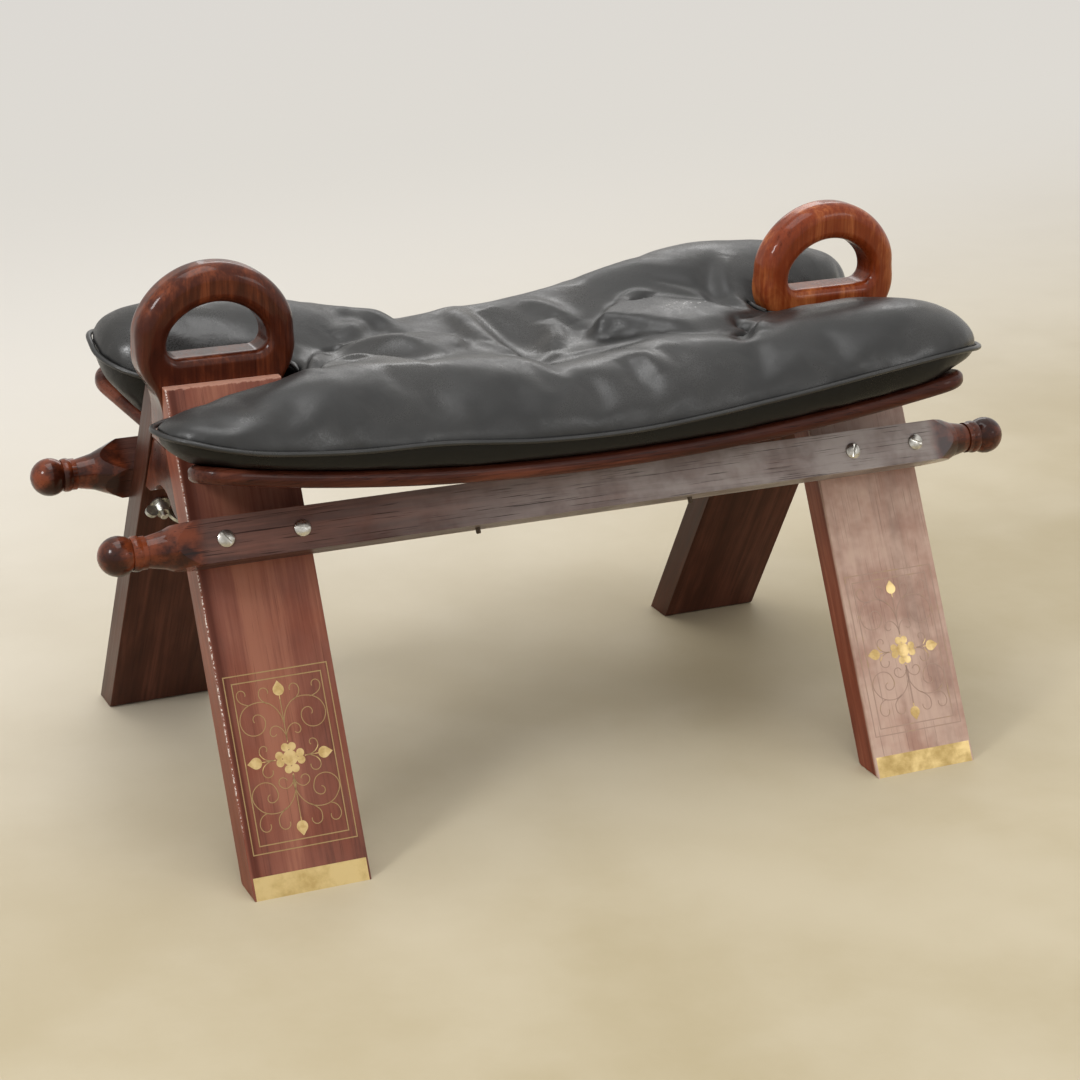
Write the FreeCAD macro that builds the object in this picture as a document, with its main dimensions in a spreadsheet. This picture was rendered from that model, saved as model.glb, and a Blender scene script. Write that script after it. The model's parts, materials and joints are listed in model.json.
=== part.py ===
"""Camel saddle stool: two splayed end frames, two turned side rails, two seat boards and a cushion.

Frame of reference (millimetres): the origin is on the floor under the middle of the stool,
+X runs along the saddle to the right-hand end, +Y to the rear and +Z up.

The stool knocks down. Each end frame is glued up from two legs, a pommel board and an apron.
The side rails are bolted to the legs, and every bolt is drawn up by a wing nut that turns on it.
"""

import FreeCAD, Part
import os
import Sketcher

Vector = FreeCAD.Vector

# Driving dimensions. Lengths are in millimetres and angles in degrees.
SIZES = {
    # end frames
    "frame_span": 499.0,        # between the middles of the two end frames
    "splay": 28.0,              # lean of each leg from upright
    "leg_width": 86.0,
    "leg_thick": 25.0,
    "leg_rise": 319.0,          # floor to the top of the legs
    "top_land": 7.0,            # level top edge left on each leg
    "foot_round": 5.0,
    "leg_ease": 0.8,            # rounding of the legs' long corners
    # pommel boards
    "pommel_thick": 30.0,
    "pommel_drop": 45.0,        # from the legs' top down to the board's lower end
    "neck_drop": 22.0,          # and to the top of its straight neck
    "head_rise": 33.0,          # from the legs' top up to where the head is widest
    "shoulder_drop": 10.0,      # straight sides below that
    "head_crown": 50.5,         # and from there to the very top
    "head_width": 117.0,
    "head_flank": 38.0,         # radius at each side of the head
    "head_round": 11.5,
    "rim_width": 21.5,          # wood beside the hand hole
    "hole_drop": 15.0,          # hand hole's lower edge below the widest place
    "hole_high": 38.0,
    "hole_corner": 9.0,
    "hole_flank": 22.0,
    "hole_round": 7.0,
    # aprons
    "apron_thick": 20.0,
    "apron_inset": 2.0,
    "apron_drop": 48.0,         # from the legs' top
    "apron_high": 44.5,
    "arch_high": 13.5,
    "arch_width": 74.0,
    # side rails
    "rail_drop": 113.3,         # down the leg's face, from its top to the rail's middle
    "rail_thick": 32.0,
    "rail_height": 31.0,
    "knob_reach": 100.5,        # from the middle of an end frame to the middle of a knob
    "knob_size": 28.3,
    "neck_size": 21.6,
    "bead_size": 25.5,
    "bead_long": 6.5,
    "ring_size": 23.6,
    "ring_long": 3.5,
    "flare_start": 19.0,        # from the knob's middle to the narrow end of the flare
    "flare_end": 54.0,          # and to its wide end
    # seat boards
    "board_thick": 12.0,
    "board_tilt": 15.0,
    "board_waist": 38.5,        # rail corner to the board's outer edge at mid length
    "board_reach": 55.5,        # from the middle of an end frame
    "board_rise": 28.0,         # lift of the board's ends
    "waist_radius": 2700.0,
    "board_corner": 26.0,
    "board_rake": 19.0,
    "board_nose": 5.0,
    "leg_gap": 0.3,
    # cushion
    "cushion_gap": 0.3,
    "cushion_reach": 78.0,      # from the middle of an end frame
    "cushion_overhang": 3.7,    # past the seat boards at mid length
    "cushion_crest": 88.0,      # from the middle line to the crest of each side's swell
    "cushion_loft": 75.5,       # from the rails' upper corner to the front crest at mid length
    "cushion_swell": 26.0,      # by which the sections' heights are measured
    "cushion_lip": 7.0,         # from the crest down to the seam at the tips
    "cushion_tip": 113.0,       # half width at the tips
    "lobe_drop": 22.0,          # from the legs' tops down to where the lobes start to round
    "lobe_round": 66.0,         # of the lobes towards the pommels
    "notch_gap": 0.5,
    # brass
    "strip_height": 14.0,
    "strip_thick": 1.2,
    "strip_margin": 1.5,
    "inlay_depth": 0.8,
    "inlay_proud": 0.1,
    "inlay_station": 93.4,
    "frame_wide": 77.0,
    "frame_high": 125.0,
    "frame_pitch": 5.4,
    "wire_width": 0.8,
    "flower_middle": 10.8,
    "petal_size": 5.8,
    "petal_reach": 8.1,
    "petal_lean": 18.0,
    "leaf_size": 8.2,
    "leaf_point": 6.5,
    "leaf_side": 24.9,
    "leaf_end": 48.2,
    # hardware
    "bolt_spread": 55.6,
    "bolt_size": 6.0,
    "bolt_hole": 6.4,
    "head_size": 12.0,
    "head_high": 3.0,
    "slot_wide": 1.6,
    "slot_deep": 1.4,
    "bolt_spare": 4.0,
    "washer_size": 16.0,
    "washer_thick": 1.2,
    "nut_gap": 0.1,
    "nut_fit": 0.05,
    "nut_base": 12.0,
    "nut_neck": 9.0,
    "nut_high": 8.0,
    "wing_span": 30.0,
    "wing_high": 14.0,
    "wing_root": 2.0,           # base of the nut to the wings' lower edge
    "wing_thick": 2.4,
    "screw_spread": 172.0,
    "screw_size": 3.6,
    "screw_hole": 4.0,
    "screw_head": 8.0,
    "screw_head_high": 2.6,
    "screw_bore": 8.6,
    "screw_sink": 1.6,
    "screw_tip": 4.5,
}

doc = FreeCAD.newDocument("camel_saddle_stool")
sheet = doc.addObject("Spreadsheet::Sheet", "Sizes")
for row, (alias, number) in enumerate(SIZES.items(), start=1):
    sheet.set(f"A{row}", alias)
    sheet.set(f"B{row}", str(number))
    sheet.setAlias(f"B{row}", alias)
doc.recompute()

PARTS = []      # the finished sub-parts, in the order they are made


# ---------------------------------------------------------------- expressions

def cell(text):
    """Turn a formula in plain aliases into one that names the sheet."""
    words = sorted(SIZES, key=len, reverse=True)
    out, spot = "", 0
    while spot < len(text):
        word = next((w for w in words if text.startswith(w, spot)), None)
        whole = word and (spot == 0 or not (text[spot - 1].isalnum() or text[spot - 1] in "_."))
        if whole:
            after = spot + len(word)
            whole = after == len(text) or not (text[after].isalnum() or text[after] == "_")
        if whole:
            out += "Sizes." + word
            spot += len(word)
        else:
            out += text[spot]
            spot += 1
    return out


def value(text):
    """The number that a formula in plain aliases comes to now."""
    return float(sheet.evalExpression(cell(text)))


# Places that several pieces share, each written once as a formula.
HALF_POMMEL = "(pommel_thick / 2)"
FACE_TOP = f"({HALF_POMMEL} + top_land)"                       # outer face of a leg at its top
FACE_FOOT = f"({FACE_TOP} + leg_rise * tan(splay))"            # and at the floor
LEG_LEVEL = "(leg_thick / cos(splay))"                         # leg thickness measured level
BEVEL = f"(({LEG_LEVEL} - top_land) / tan(splay))"             # height of the glued bevel
RAIL_UP = "(leg_rise / cos(splay) - rail_drop)"                # up the leg's face to the rail
RAIL_Y = f"({FACE_FOOT} - {RAIL_UP} * sin(splay) + rail_thick / 2 * cos(splay))"
RAIL_Z = f"({RAIL_UP} * cos(splay) + rail_thick / 2 * sin(splay))"
CORNER_Y = f"({RAIL_Y} + rail_thick / 2 * cos(splay) - rail_height / 2 * sin(splay))"
CORNER_Z = f"({RAIL_Z} + rail_thick / 2 * sin(splay) + rail_height / 2 * cos(splay))"
FRAME_X = "(frame_span / 2)"
KNOB_X = f"({FRAME_X} + knob_reach)"
NECK_TOP = "(leg_rise - neck_drop)"
HEAD_SPRING = "(leg_rise + head_rise)"
HEAD_TOP = f"({HEAD_SPRING} + head_crown)"
SHOULDER = f"({HEAD_SPRING} - shoulder_drop)"
HOLE_HALF = "(head_width / 2 - rim_width)"
HOLE_BOTTOM = f"({HEAD_SPRING} - hole_drop)"
HOLE_TOP = f"({HOLE_BOTTOM} + hole_high)"
APRON_TOP = "(leg_rise - apron_drop)"
APRON_FOOT = f"({APRON_TOP} - apron_high)"
BOARD_HALF = f"({FRAME_X} + board_reach)"
CUSHION_HALF = f"({FRAME_X} + cushion_reach)"


def face_of_leg(height):
    """How far from the middle plane a leg's outer face is at a height."""
    return f"({FACE_TOP} + (leg_rise - {height}) * tan(splay))"


# ---------------------------------------------------------------- drawing helpers

def new_body(name):
    body = doc.addObject("PartDesign::Body", name)
    body.Label = name
    return body


def new_sketch(body, name, plane, shift=None, turn=None):
    """A sketch on one of the body's origin planes, shifted by formulas and turned about X."""
    sketch = body.newObject("Sketcher::SketchObject", f"{body.Name}_{name}")
    origin = next(f for f in body.Origin.OriginFeatures if f.Role == plane)
    sketch.AttachmentSupport = [(origin, "")]
    sketch.MapMode = "FlatFace"
    if turn:
        axis = FreeCAD.Rotation(Vector(1, 0, 0), value(turn))
        sketch.AttachmentOffset = FreeCAD.Placement(Vector(0, 0, 0), axis)
        sketch.setExpression("AttachmentOffset.Rotation.Angle", cell(turn))
    for letter, formula in (shift or {}).items():
        sketch.setExpression(f"AttachmentOffset.Base.{letter}", cell(formula))
    return sketch


def pin(sketch, geometry, point, place):
    """Hold one point of a sketch at a place given by two formulas."""
    spot = sketch.getPoint(geometry, point)
    for kind, axis, formula, now in (("DistanceX", -2, place[0], spot.x),
                                     ("DistanceY", -1, place[1], spot.y)):
        if formula == "0":
            sketch.addConstraint(Sketcher.Constraint("PointOnObject", geometry, point, axis))
        else:
            number = sketch.addConstraint(Sketcher.Constraint(kind, -1, 1, geometry, point, now))
            sketch.setExpression(f"Constraints[{number}]", cell(formula))


def outline(sketch, path):
    """Draw a closed outline. Each stop is (x, y) or (x, y, radius, side): a stop with a radius
    is followed by an arc, which bulges to the left (side 1) or the right (side -1) of its chord."""
    first = sketch.GeometryCount
    count = len(path)
    spots = [Vector(value(stop[0]), value(stop[1]), 0) for stop in path]
    starts = []                         # the point number at which each piece begins
    for here, stop in enumerate(path):
        one, two = spots[here], spots[(here + 1) % count]
        if len(stop) == 2:
            sketch.addGeometry(Part.LineSegment(one, two))
            starts.append(1)
            continue
        radius, side = value(stop[2]), stop[3]
        chord = two - one
        left = Vector(-chord.y, chord.x, 0).normalize()
        rise = radius - (radius ** 2 - (chord.Length / 2) ** 2) ** 0.5
        arc = Part.Arc(one, one + chord / 2 + left * side * rise, two)
        index = sketch.addGeometry(arc)
        starts.append(1 if (sketch.getPoint(index, 1) - one).Length < 1e-6 else 2)
        held = sketch.addConstraint(Sketcher.Constraint("Radius", index, radius))
        sketch.setExpression(f"Constraints[{held}]", cell(stop[2]))
    for here in range(count):
        after = (here + 1) % count
        sketch.addConstraint(Sketcher.Constraint(
            "Coincident", first + here, 3 - starts[here], first + after, starts[after]))
    for here, stop in enumerate(path):
        pin(sketch, first + here, starts[here], stop[:2])


def circle(sketch, place, size):
    """Draw a circle of a diameter given by a formula."""
    centre = Vector(value(place[0]), value(place[1]), 0)
    index = sketch.addGeometry(Part.Circle(centre, Vector(0, 0, 1), value(size) / 2))
    pin(sketch, index, 3, place)
    held = sketch.addConstraint(Sketcher.Constraint("Diameter", index, value(size)))
    sketch.setExpression(f"Constraints[{held}]", cell(size))


def rectangle(sketch, left, bottom, right, top):
    outline(sketch, [(left, bottom), (right, bottom), (right, top), (left, top)])


def feature(body, kind, name, sketch, **settings):
    """A sketch feature. Settings that are text are formulas, bound to the sheet."""
    made = body.newObject(f"PartDesign::{kind}", f"{body.Name}_{name}")
    made.Profile = sketch
    for key, setting in settings.items():
        if isinstance(setting, str) and key in ("Length", "Length2", "Angle"):
            made.setExpression(key, cell(setting))
        else:
            setattr(made, key, setting)
    sketch.Visibility = False
    return made


def turned(body, kind, name, sketch, axis):
    """A revolution or a groove about an axis of its own sketch."""
    return feature(body, kind, name, sketch, ReferenceAxis=(sketch, [axis]), Angle=360.0)


def rounding(body, name, formula, chosen):
    """Round those edges of the body that the test picks."""
    doc.recompute()
    base = body.Tip
    names = [f"Edge{n}" for n, edge in enumerate(base.Shape.Edges, 1) if chosen(edge)]
    made = body.newObject("PartDesign::Fillet", f"{body.Name}_{name}")
    made.Base = (base, names)
    made.setExpression("Radius", cell(formula))
    return made


def middle(edge):
    return edge.valueAt((edge.FirstParameter + edge.LastParameter) / 2)


def place(part, x="0", y="0", z="0", axis=Vector(0, 0, 1), angle=0.0):
    """Set a finished part in the stool, its place bound to the sheet."""
    part.Placement = FreeCAD.Placement(Vector(0, 0, 0), FreeCAD.Rotation(axis, angle))
    for letter, formula in (("x", x), ("y", y), ("z", z)):
        if formula != "0":
            part.setExpression(f"Placement.Base.{letter}", cell(formula))


def finish(part):
    doc.recompute()
    PARTS.append(part)
    return part


# ---------------------------------------------------------------- corners of the stool

class Corner:
    """One of the four leg positions: side is -1 left or 1 right, and row -1 front or 1 rear."""

    def __init__(self, side, row):
        self.side, self.row = side, row
        self.name = f"{'front' if row < 0 else 'rear'}_{'left' if side < 0 else 'right'}"
        self.x = f"{side} * {FRAME_X}"
        self.turn = 180.0 if row < 0 else 0.0       # about Z, from the rear row


CORNERS = [Corner(side, row) for row in (-1, 1) for side in (-1, 1)]

# In the frame of a leg +Y points outwards. This is the plane of the leg's outer face: its
# sketches have X along the stool, Y up the slope from the floor, and look into the wood.
ON_FACE = {"plane": "XY_Plane", "shift": {"y": FACE_FOOT}, "turn": "90 + splay"}


# ---------------------------------------------------------------- legs and brass

def inlay_frames(sketch):
    """The two fine rectangles of brass wire round the flower."""
    for step in ("0", "frame_pitch"):
        for wire in ("0", "wire_width"):
            wide = f"(frame_wide / 2 - {step} - {wire})"
            high = f"(frame_high / 2 - {step} - {wire})"
            rectangle(sketch, f"-{wide}", f"inlay_station - {high}", wide, f"inlay_station + {high}")


def inlay_leaves(sketch):
    """Four pointed leaves, one each way from the flower, with their points outwards."""
    radius = "leaf_size / 2"
    touch = f"({radius} * {radius} / leaf_point)"           # where the point's sides leave the round
    width = f"({radius} * sqrt(1 - ({radius} / leaf_point) ^ 2))"
    for reach, ways in (("leaf_side", ((1, 0), (-1, 0))), ("leaf_end", ((0, 1), (0, -1)))):
        for east, north in ways:
            def spot(out, across):
                """A point of the leaf, out from its middle and across it."""
                x = f"{east} * ({reach} + {out}) - {north} * ({across})"
                y = f"inlay_station + {north} * ({reach} + {out}) + {east} * ({across})"
                return x, y
            tip, left, right = spot("leaf_point", "0"), spot(touch, width), spot(touch, f"0 - {width}")
            back = spot(f"0 - {radius}", "0")
            outline(sketch, [tip, (*left, radius, -1), (*back, radius, -1), right])


def flower(body, kind, plane, depth, **way):
    """The flower is a round in the middle and four petals about it, each with two round lobes."""
    spots = [("0", "inlay_station", "flower_middle")]
    for lean in [f"{90 * turn} {sign} petal_lean" for turn in range(4) for sign in "-+"]:
        spots.append((f"petal_reach * cos({lean})", f"inlay_station + petal_reach * sin({lean})", "petal_size"))
    for number, (x, y, size) in enumerate(spots):
        sketch = new_sketch(body, f"petal_{number}", **plane)
        circle(sketch, (x, y), size)
        feature(body, kind, f"petal_round_{number}", sketch, Length=depth, **way)


def make_leg(corner):
    body = new_body(f"leg_{corner.name}")
    side_view = new_sketch(body, "side_view", "YZ_Plane")
    outline(side_view, [
        (FACE_FOOT, "0"),
        (FACE_TOP, "leg_rise"),
        (HALF_POMMEL, "leg_rise"),
        (HALF_POMMEL, f"leg_rise - {BEVEL}"),
        (f"{FACE_FOOT} - {LEG_LEVEL}", "0"),
    ])
    feature(body, "Pad", "board", side_view, Length="leg_width", Midplane=True)
    inner_foot = value(f"{FACE_FOOT} - {LEG_LEVEL}")
    rounding(body, "foot", "foot_round",
             lambda e: abs(middle(e).y - inner_foot) < 0.01 and abs(middle(e).z) < 0.01)
    half = value("leg_width / 2")

    def long_corner(edge):
        spot = middle(edge)
        slopes = abs(edge.Vertexes[0].Z - edge.Vertexes[-1].Z) > half
        return slopes and abs(abs(spot.x) - half) < 0.01
    rounding(body, "ease", "leg_ease", long_corner)

    bolts = new_sketch(body, "bolts", **ON_FACE)
    for side in (-1, 1):
        circle(bolts, (f"{side} * bolt_spread / 2", RAIL_UP), "bolt_hole")
    feature(body, "Pocket", "bolt_holes", bolts, Type="ThroughAll", Midplane=True)

    strip = new_sketch(body, "strip", **ON_FACE)
    half_strip = "(leg_width / 2 - strip_margin)"
    rectangle(strip, f"-{half_strip}", "0 - strip_thick * tan(splay)", half_strip,
              "strip_height / cos(splay)")
    feature(body, "Pocket", "strip_recess", strip, Length="strip_thick", Reversed=True)

    lines = new_sketch(body, "lines", **ON_FACE)
    inlay_frames(lines)
    inlay_leaves(lines)
    feature(body, "Pocket", "inlay_recess", lines, Length="inlay_depth", Reversed=True)
    flower(body, "Pocket", ON_FACE, "inlay_depth", Reversed=True)
    place(body, x=corner.x, angle=corner.turn)
    return finish(body)


def make_strip(corner):
    """The brass strip that shoes the foot, cut level at the floor."""
    body = new_body(f"foot_strip_{corner.name}")
    side_view = new_sketch(body, "side_view", "YZ_Plane")
    level = "(strip_thick / cos(splay))"
    outline(side_view, [
        (FACE_FOOT, "0"),
        (f"{FACE_FOOT} - strip_height * tan(splay)", "strip_height"),
        (f"{FACE_FOOT} - strip_height * tan(splay) - strip_thick * cos(splay)",
         "strip_height - strip_thick * sin(splay)"),
        (f"{FACE_FOOT} - {level}", "0"),
    ])
    feature(body, "Pad", "strip", side_view, Length="leg_width - 2 * strip_margin", Midplane=True)
    place(body, x=corner.x, angle=corner.turn)
    return finish(body)


def make_inlay(corner):
    """Flower, leaves and wire frames, let into the leg and standing a hair proud."""
    body = new_body(f"inlay_{corner.name}")
    raised = {"plane": "XY_Plane", "turn": "90 + splay",
              "shift": {"y": f"{FACE_FOOT} + inlay_proud * cos(splay)", "z": "inlay_proud * sin(splay)"}}
    lines = new_sketch(body, "lines", **raised)
    inlay_frames(lines)
    inlay_leaves(lines)
    feature(body, "Pad", "lines_pad", lines, Length="inlay_depth + inlay_proud")
    flower(body, "Pad", raised, "inlay_depth + inlay_proud")
    place(body, x=corner.x, angle=corner.turn)
    return finish(body)


# ---------------------------------------------------------------- pommels and aprons

def arch(half, spring, top, flank):
    """The stops of a three-centred arch from right to left: where its flanks meet the crown."""
    drop = f"((({half} - {flank}) ^ 2 - ({top} - {spring} - {flank}) ^ 2)"
    drop += f" / (2 * ({top} - {spring} - {flank})))"
    crown = f"({top} - {spring} + {drop})"
    x = f"({crown} * ({half} - {flank}) / ({crown} - {flank}))"
    y = f"({spring} - {drop} + {crown} * {drop} / ({crown} - {flank}))"
    return [(half, spring, flank, -1), (x, y, crown, -1), (f"0 - {x}", y, flank, -1)]


def make_pommel(name, side):
    board = new_body(f"{name}_board")
    front_view = new_sketch(board, "front_view", "XZ_Plane")
    half, neck = "(head_width / 2)", "(leg_width / 2)"
    # each shoulder is two equal arcs, upright where they start and end
    step, drop = f"({half} - {neck})", f"({SHOULDER} - {NECK_TOP})"
    sweep = f"({drop} / 2 / sin(2 * atan({step} / {drop})))"
    waist = (f"({half} + {neck}) / 2", f"({SHOULDER} + {NECK_TOP}) / 2")
    outline(front_view, [
        (f"0 - {neck}", "leg_rise - pommel_drop"),
        (neck, "leg_rise - pommel_drop"),
        (neck, NECK_TOP, sweep, 1),
        (*waist, sweep, -1),
        (half, SHOULDER),
        *arch(half, HEAD_SPRING, HEAD_TOP, "head_flank"),
        (f"0 - {half}", HEAD_SPRING),
        (f"0 - {half}", SHOULDER, sweep, -1),
        (f"0 - ({waist[0]})", waist[1], sweep, 1),
        (f"0 - {neck}", NECK_TOP),
    ])
    feature(board, "Pad", "board", front_view, Length="pommel_thick", Midplane=True)
    hole = new_sketch(board, "hole", "XZ_Plane")
    outline(hole, [
        (f"0 - {HOLE_HALF} + hole_corner", HOLE_BOTTOM),
        (f"{HOLE_HALF} - hole_corner", HOLE_BOTTOM, "hole_corner", -1),
        *arch(HOLE_HALF, f"({HOLE_BOTTOM} + hole_corner)", HOLE_TOP, "hole_flank"),
        (f"0 - {HOLE_HALF}", f"{HOLE_BOTTOM} + hole_corner", "hole_corner", -1),
    ])
    feature(board, "Pocket", "hand_hole", hole, Type="ThroughAll", Midplane=True)
    doc.recompute()

    # The head is rounded over like a handle. The rounding fades out down the shoulders, so
    # that the neck is square where the legs are glued to it.
    face, neck_z, spring = value(HALF_POMMEL), value(NECK_TOP), value(HEAD_SPRING)
    most, least = value("head_round"), value("leg_ease")
    hole_half, hole_z = value(HOLE_HALF) + 0.01, value(HOLE_TOP) + 0.01

    def outer_round(height):
        share = min(1.0, max(0.0, (height - neck_z) / (spring - neck_z)))
        return least + (most - least) * share

    rounds = []
    for number, edge in enumerate(board.Shape.Edges, 1):
        spot, start, end = middle(edge), edge.Vertexes[0].Z, edge.Vertexes[-1].Z
        if abs(abs(spot.y) - face) > 0.01 or spot.z < neck_z:
            continue
        if abs(spot.x) < hole_half and spot.z < hole_z:
            rounds.append((number, value("hole_round"), value("hole_round")))
        else:
            rounds.append((number, outer_round(start), outer_round(end)))
    pommel = doc.addObject("Part::Fillet", name)
    pommel.Label = name
    pommel.Base = board
    pommel.Edges = rounds
    place(pommel, x=f"{side} * {FRAME_X}")
    return finish(pommel)


def make_apron(name, side):
    """The board under the pommel that ties the two legs of an end frame together."""
    body = new_body(name)
    end_view = new_sketch(body, "end_view", "YZ_Plane")
    top = f"({face_of_leg(APRON_TOP)} - {LEG_LEVEL})"
    foot = f"({face_of_leg(APRON_FOOT)} - {LEG_LEVEL})"
    arch_half = "(arch_width / 2)"
    sweep = f"(({arch_half} ^ 2 + arch_high ^ 2) / (4 * arch_high))"
    outline(end_view, [
        (top, APRON_TOP),
        (f"0 - {top}", APRON_TOP),
        (f"0 - {foot}", APRON_FOOT),
        (f"0 - {arch_half}", APRON_FOOT, sweep, -1),
        (f"0 - {arch_half} / 2", f"{APRON_FOOT} + arch_high / 2", sweep, 1),
        ("0", f"{APRON_FOOT} + arch_high", sweep, 1),
        (f"{arch_half} / 2", f"{APRON_FOOT} + arch_high / 2", sweep, -1),
        (arch_half, APRON_FOOT),
        (foot, APRON_FOOT),
    ])
    feature(body, "Pad", "board", end_view, Length="apron_thick")
    outside = "leg_width / 2 - apron_inset"
    middle_x = f"{side} * ({FRAME_X} + {outside} - apron_thick / 2) - apron_thick / 2"
    place(body, x=middle_x)
    return finish(body)


# ---------------------------------------------------------------- side rails

def knob_profile(sketch, mirrored):
    """The waste that a lathe cuts from the square stock at one end: bead, ring and flare."""
    outwards = 1 if mirrored else -1
    knob, neck, waste = "(knob_size / 2)", "(neck_size / 2)", "(rail_thick + rail_height)"
    flare_start, flare_end = f"({KNOB_X} - flare_start)", f"({KNOB_X} - flare_end)"
    ring_end = f"({flare_start} + ring_long)"
    bead_end = f"({ring_end} + bead_long)"
    root = f"({KNOB_X} - {bead_end})"
    past = f"{KNOB_X} + {knob} + 5"

    def at(x, y):
        return (f"-1 * ({x})" if mirrored else x), y
    outline(sketch, [
        at(flare_end, "sqrt(rail_thick ^ 2 + rail_height ^ 2) / 2 + 0.5"),
        at(flare_end, waste),
        at(past, waste),
        at(past, "0"),
        (*at(f"{KNOB_X} + {knob}", "0"), knob, outwards),
        (*at(KNOB_X, knob), knob, outwards),
        at(bead_end, f"sqrt({knob} ^ 2 - {root} ^ 2)"),
        (*at(bead_end, "bead_size / 2 - 1"), "bead_long", outwards),
        at(ring_end, "bead_size / 2 - 1"),
        at(ring_end, "ring_size / 2"),
        at(flare_start, "ring_size / 2"),
        at(flare_start, neck),
        at(f"({flare_start} + {flare_end}) / 2 + 4", f"({neck} + rail_height / 2) / 2 + 0.5"),
    ])


def make_rail(name, row):
    """A square bar turned at both ends, drilled for the leg bolts and the board screws."""
    body = new_body(name)
    section = new_sketch(body, "section", "YZ_Plane")
    rectangle(section, "0 - rail_thick / 2", "0 - rail_height / 2", "rail_thick / 2",
              "rail_height / 2")
    feature(body, "Pad", "bar", section, Length=f"2 * {KNOB_X} + knob_size + 4", Midplane=True)
    for end, mirrored in (("right", False), ("left", True)):
        waste = new_sketch(body, f"waste_{end}", "XY_Plane")
        knob_profile(waste, mirrored)
        turned(body, "Groove", f"turning_{end}", waste, "H_Axis")
    bolts = new_sketch(body, "bolts", "XZ_Plane")
    for side in (-1, 1):
        for step in (-1, 1):
            circle(bolts, (f"{side} * {FRAME_X} + {step} * bolt_spread / 2", "0"), "bolt_hole")
    feature(body, "Pocket", "bolt_holes", bolts, Type="ThroughAll", Midplane=True)
    screws = new_sketch(body, "screws", "XY_Plane")
    for side in (-1, 1):
        circle(screws, (f"{side} * screw_spread / 2", "0"), "screw_hole")
    feature(body, "Pocket", "screw_holes", screws, Type="ThroughAll", Midplane=True)
    lay_on_legs(body, row, RAIL_Y, RAIL_Z, "splay")
    return finish(body)


def lay_on_legs(part, row, y, z, tilt):
    """Place a part made along X so that its own +Y points outwards, tipped up by the tilt."""
    about_z = FreeCAD.Rotation(Vector(0, 0, 1), 180.0 if row < 0 else 0.0)
    tip = FreeCAD.Rotation(Vector(1, 0, 0), value(tilt))
    part.Placement = FreeCAD.Placement(Vector(0, 0, 0), about_z * tip)
    part.setExpression("Placement.Base.y", cell(f"{row} * {y}"))
    part.setExpression("Placement.Base.z", cell(z))


# ---------------------------------------------------------------- seat boards

# In the frame of a seat board the origin is on the rail's upper corner at mid length,
# +Y points outwards along the board and +Z out of its top.
LEAN = "(splay - board_tilt)"                                   # of the rail from the board
AXIS_Y = f"(rail_height / 2 * sin{LEAN} - rail_thick / 2 * cos{LEAN})"      # the rail's middle
AXIS_Z = f"(0 - rail_thick / 2 * sin{LEAN} - rail_height / 2 * cos{LEAN})"
UNDER_RADIUS = f"(({BOARD_HALF} ^ 2 + board_rise ^ 2) / (2 * board_rise))"


def board_lift(x, radius=UNDER_RADIUS):
    """How far the board's underside has risen at a distance from mid length."""
    return f"({radius} - sqrt({radius} ^ 2 - ({x}) ^ 2))"


# The inner edge just clears the legs at their inner corners, where the boards lie against them.
RISE_THERE = board_lift(f"({FRAME_X} - leg_width / 2)")
TO_FACE = (f"({FACE_TOP} + (leg_rise - {CORNER_Z}) * tan(splay) - {CORNER_Y}"
           f" - {RISE_THERE} * (cos(board_tilt) * tan(splay) - sin(board_tilt)))")
BOARD_INNER = f"({TO_FACE} / (cos(board_tilt) + sin(board_tilt) * tan(splay)) + leg_gap)"

# How far the underside of a board screw's head is from the rail's middle, along the screw.
TOP_THERE = f"(board_thick + {board_lift('screw_spread / 2')})"
SEAT_RISE = f"(({TOP_THERE} - {AXIS_Z}) / cos{LEAN} - screw_sink - screw_head_high)"


def plan_of_board(sketch):
    """The board seen square to its middle: waisted outer edge, round corners and raked ends."""
    reach = f"({BOARD_HALF} - board_corner)"
    lean = f"asin({reach} / (waist_radius + board_corner))"
    corner_y = f"(board_waist + waist_radius - (waist_radius + board_corner) * cos({lean}))"
    edge = (f"(waist_radius * sin({lean}))",
            f"(board_waist + waist_radius - waist_radius * cos({lean}))")
    side = (f"({reach} + board_corner * cos(board_rake))",
            f"({corner_y} - board_corner * sin(board_rake))")
    inner_x = f"({side[0]} - ({side[1]} - {BOARD_INNER}) * tan(board_rake))"
    outline(sketch, [
        (inner_x, BOARD_INNER),
        (side[0], side[1], "board_corner", -1),
        (edge[0], edge[1], "waist_radius", 1),
        (f"0 - {edge[0]}", edge[1], "board_corner", -1),
        (f"0 - {side[0]}", side[1]),
        (f"0 - {inner_x}", BOARD_INNER),
    ])


def slab_section(sketch, low, high, radius):
    """The long section between two curved skins, one a distance above the other."""
    end = f"({BOARD_HALF} + 20)"
    under, over = f"({radius} - {low})", f"({radius} - {high})"

    def skin(r):
        return f"({radius} - sqrt({r} ^ 2 - {end} ^ 2))"
    outline(sketch, [
        (f"0 - {end}", skin(under), under, -1),
        (end, skin(under)),
        (end, skin(over), over, 1),
        (f"0 - {end}", skin(over)),
    ])


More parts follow.
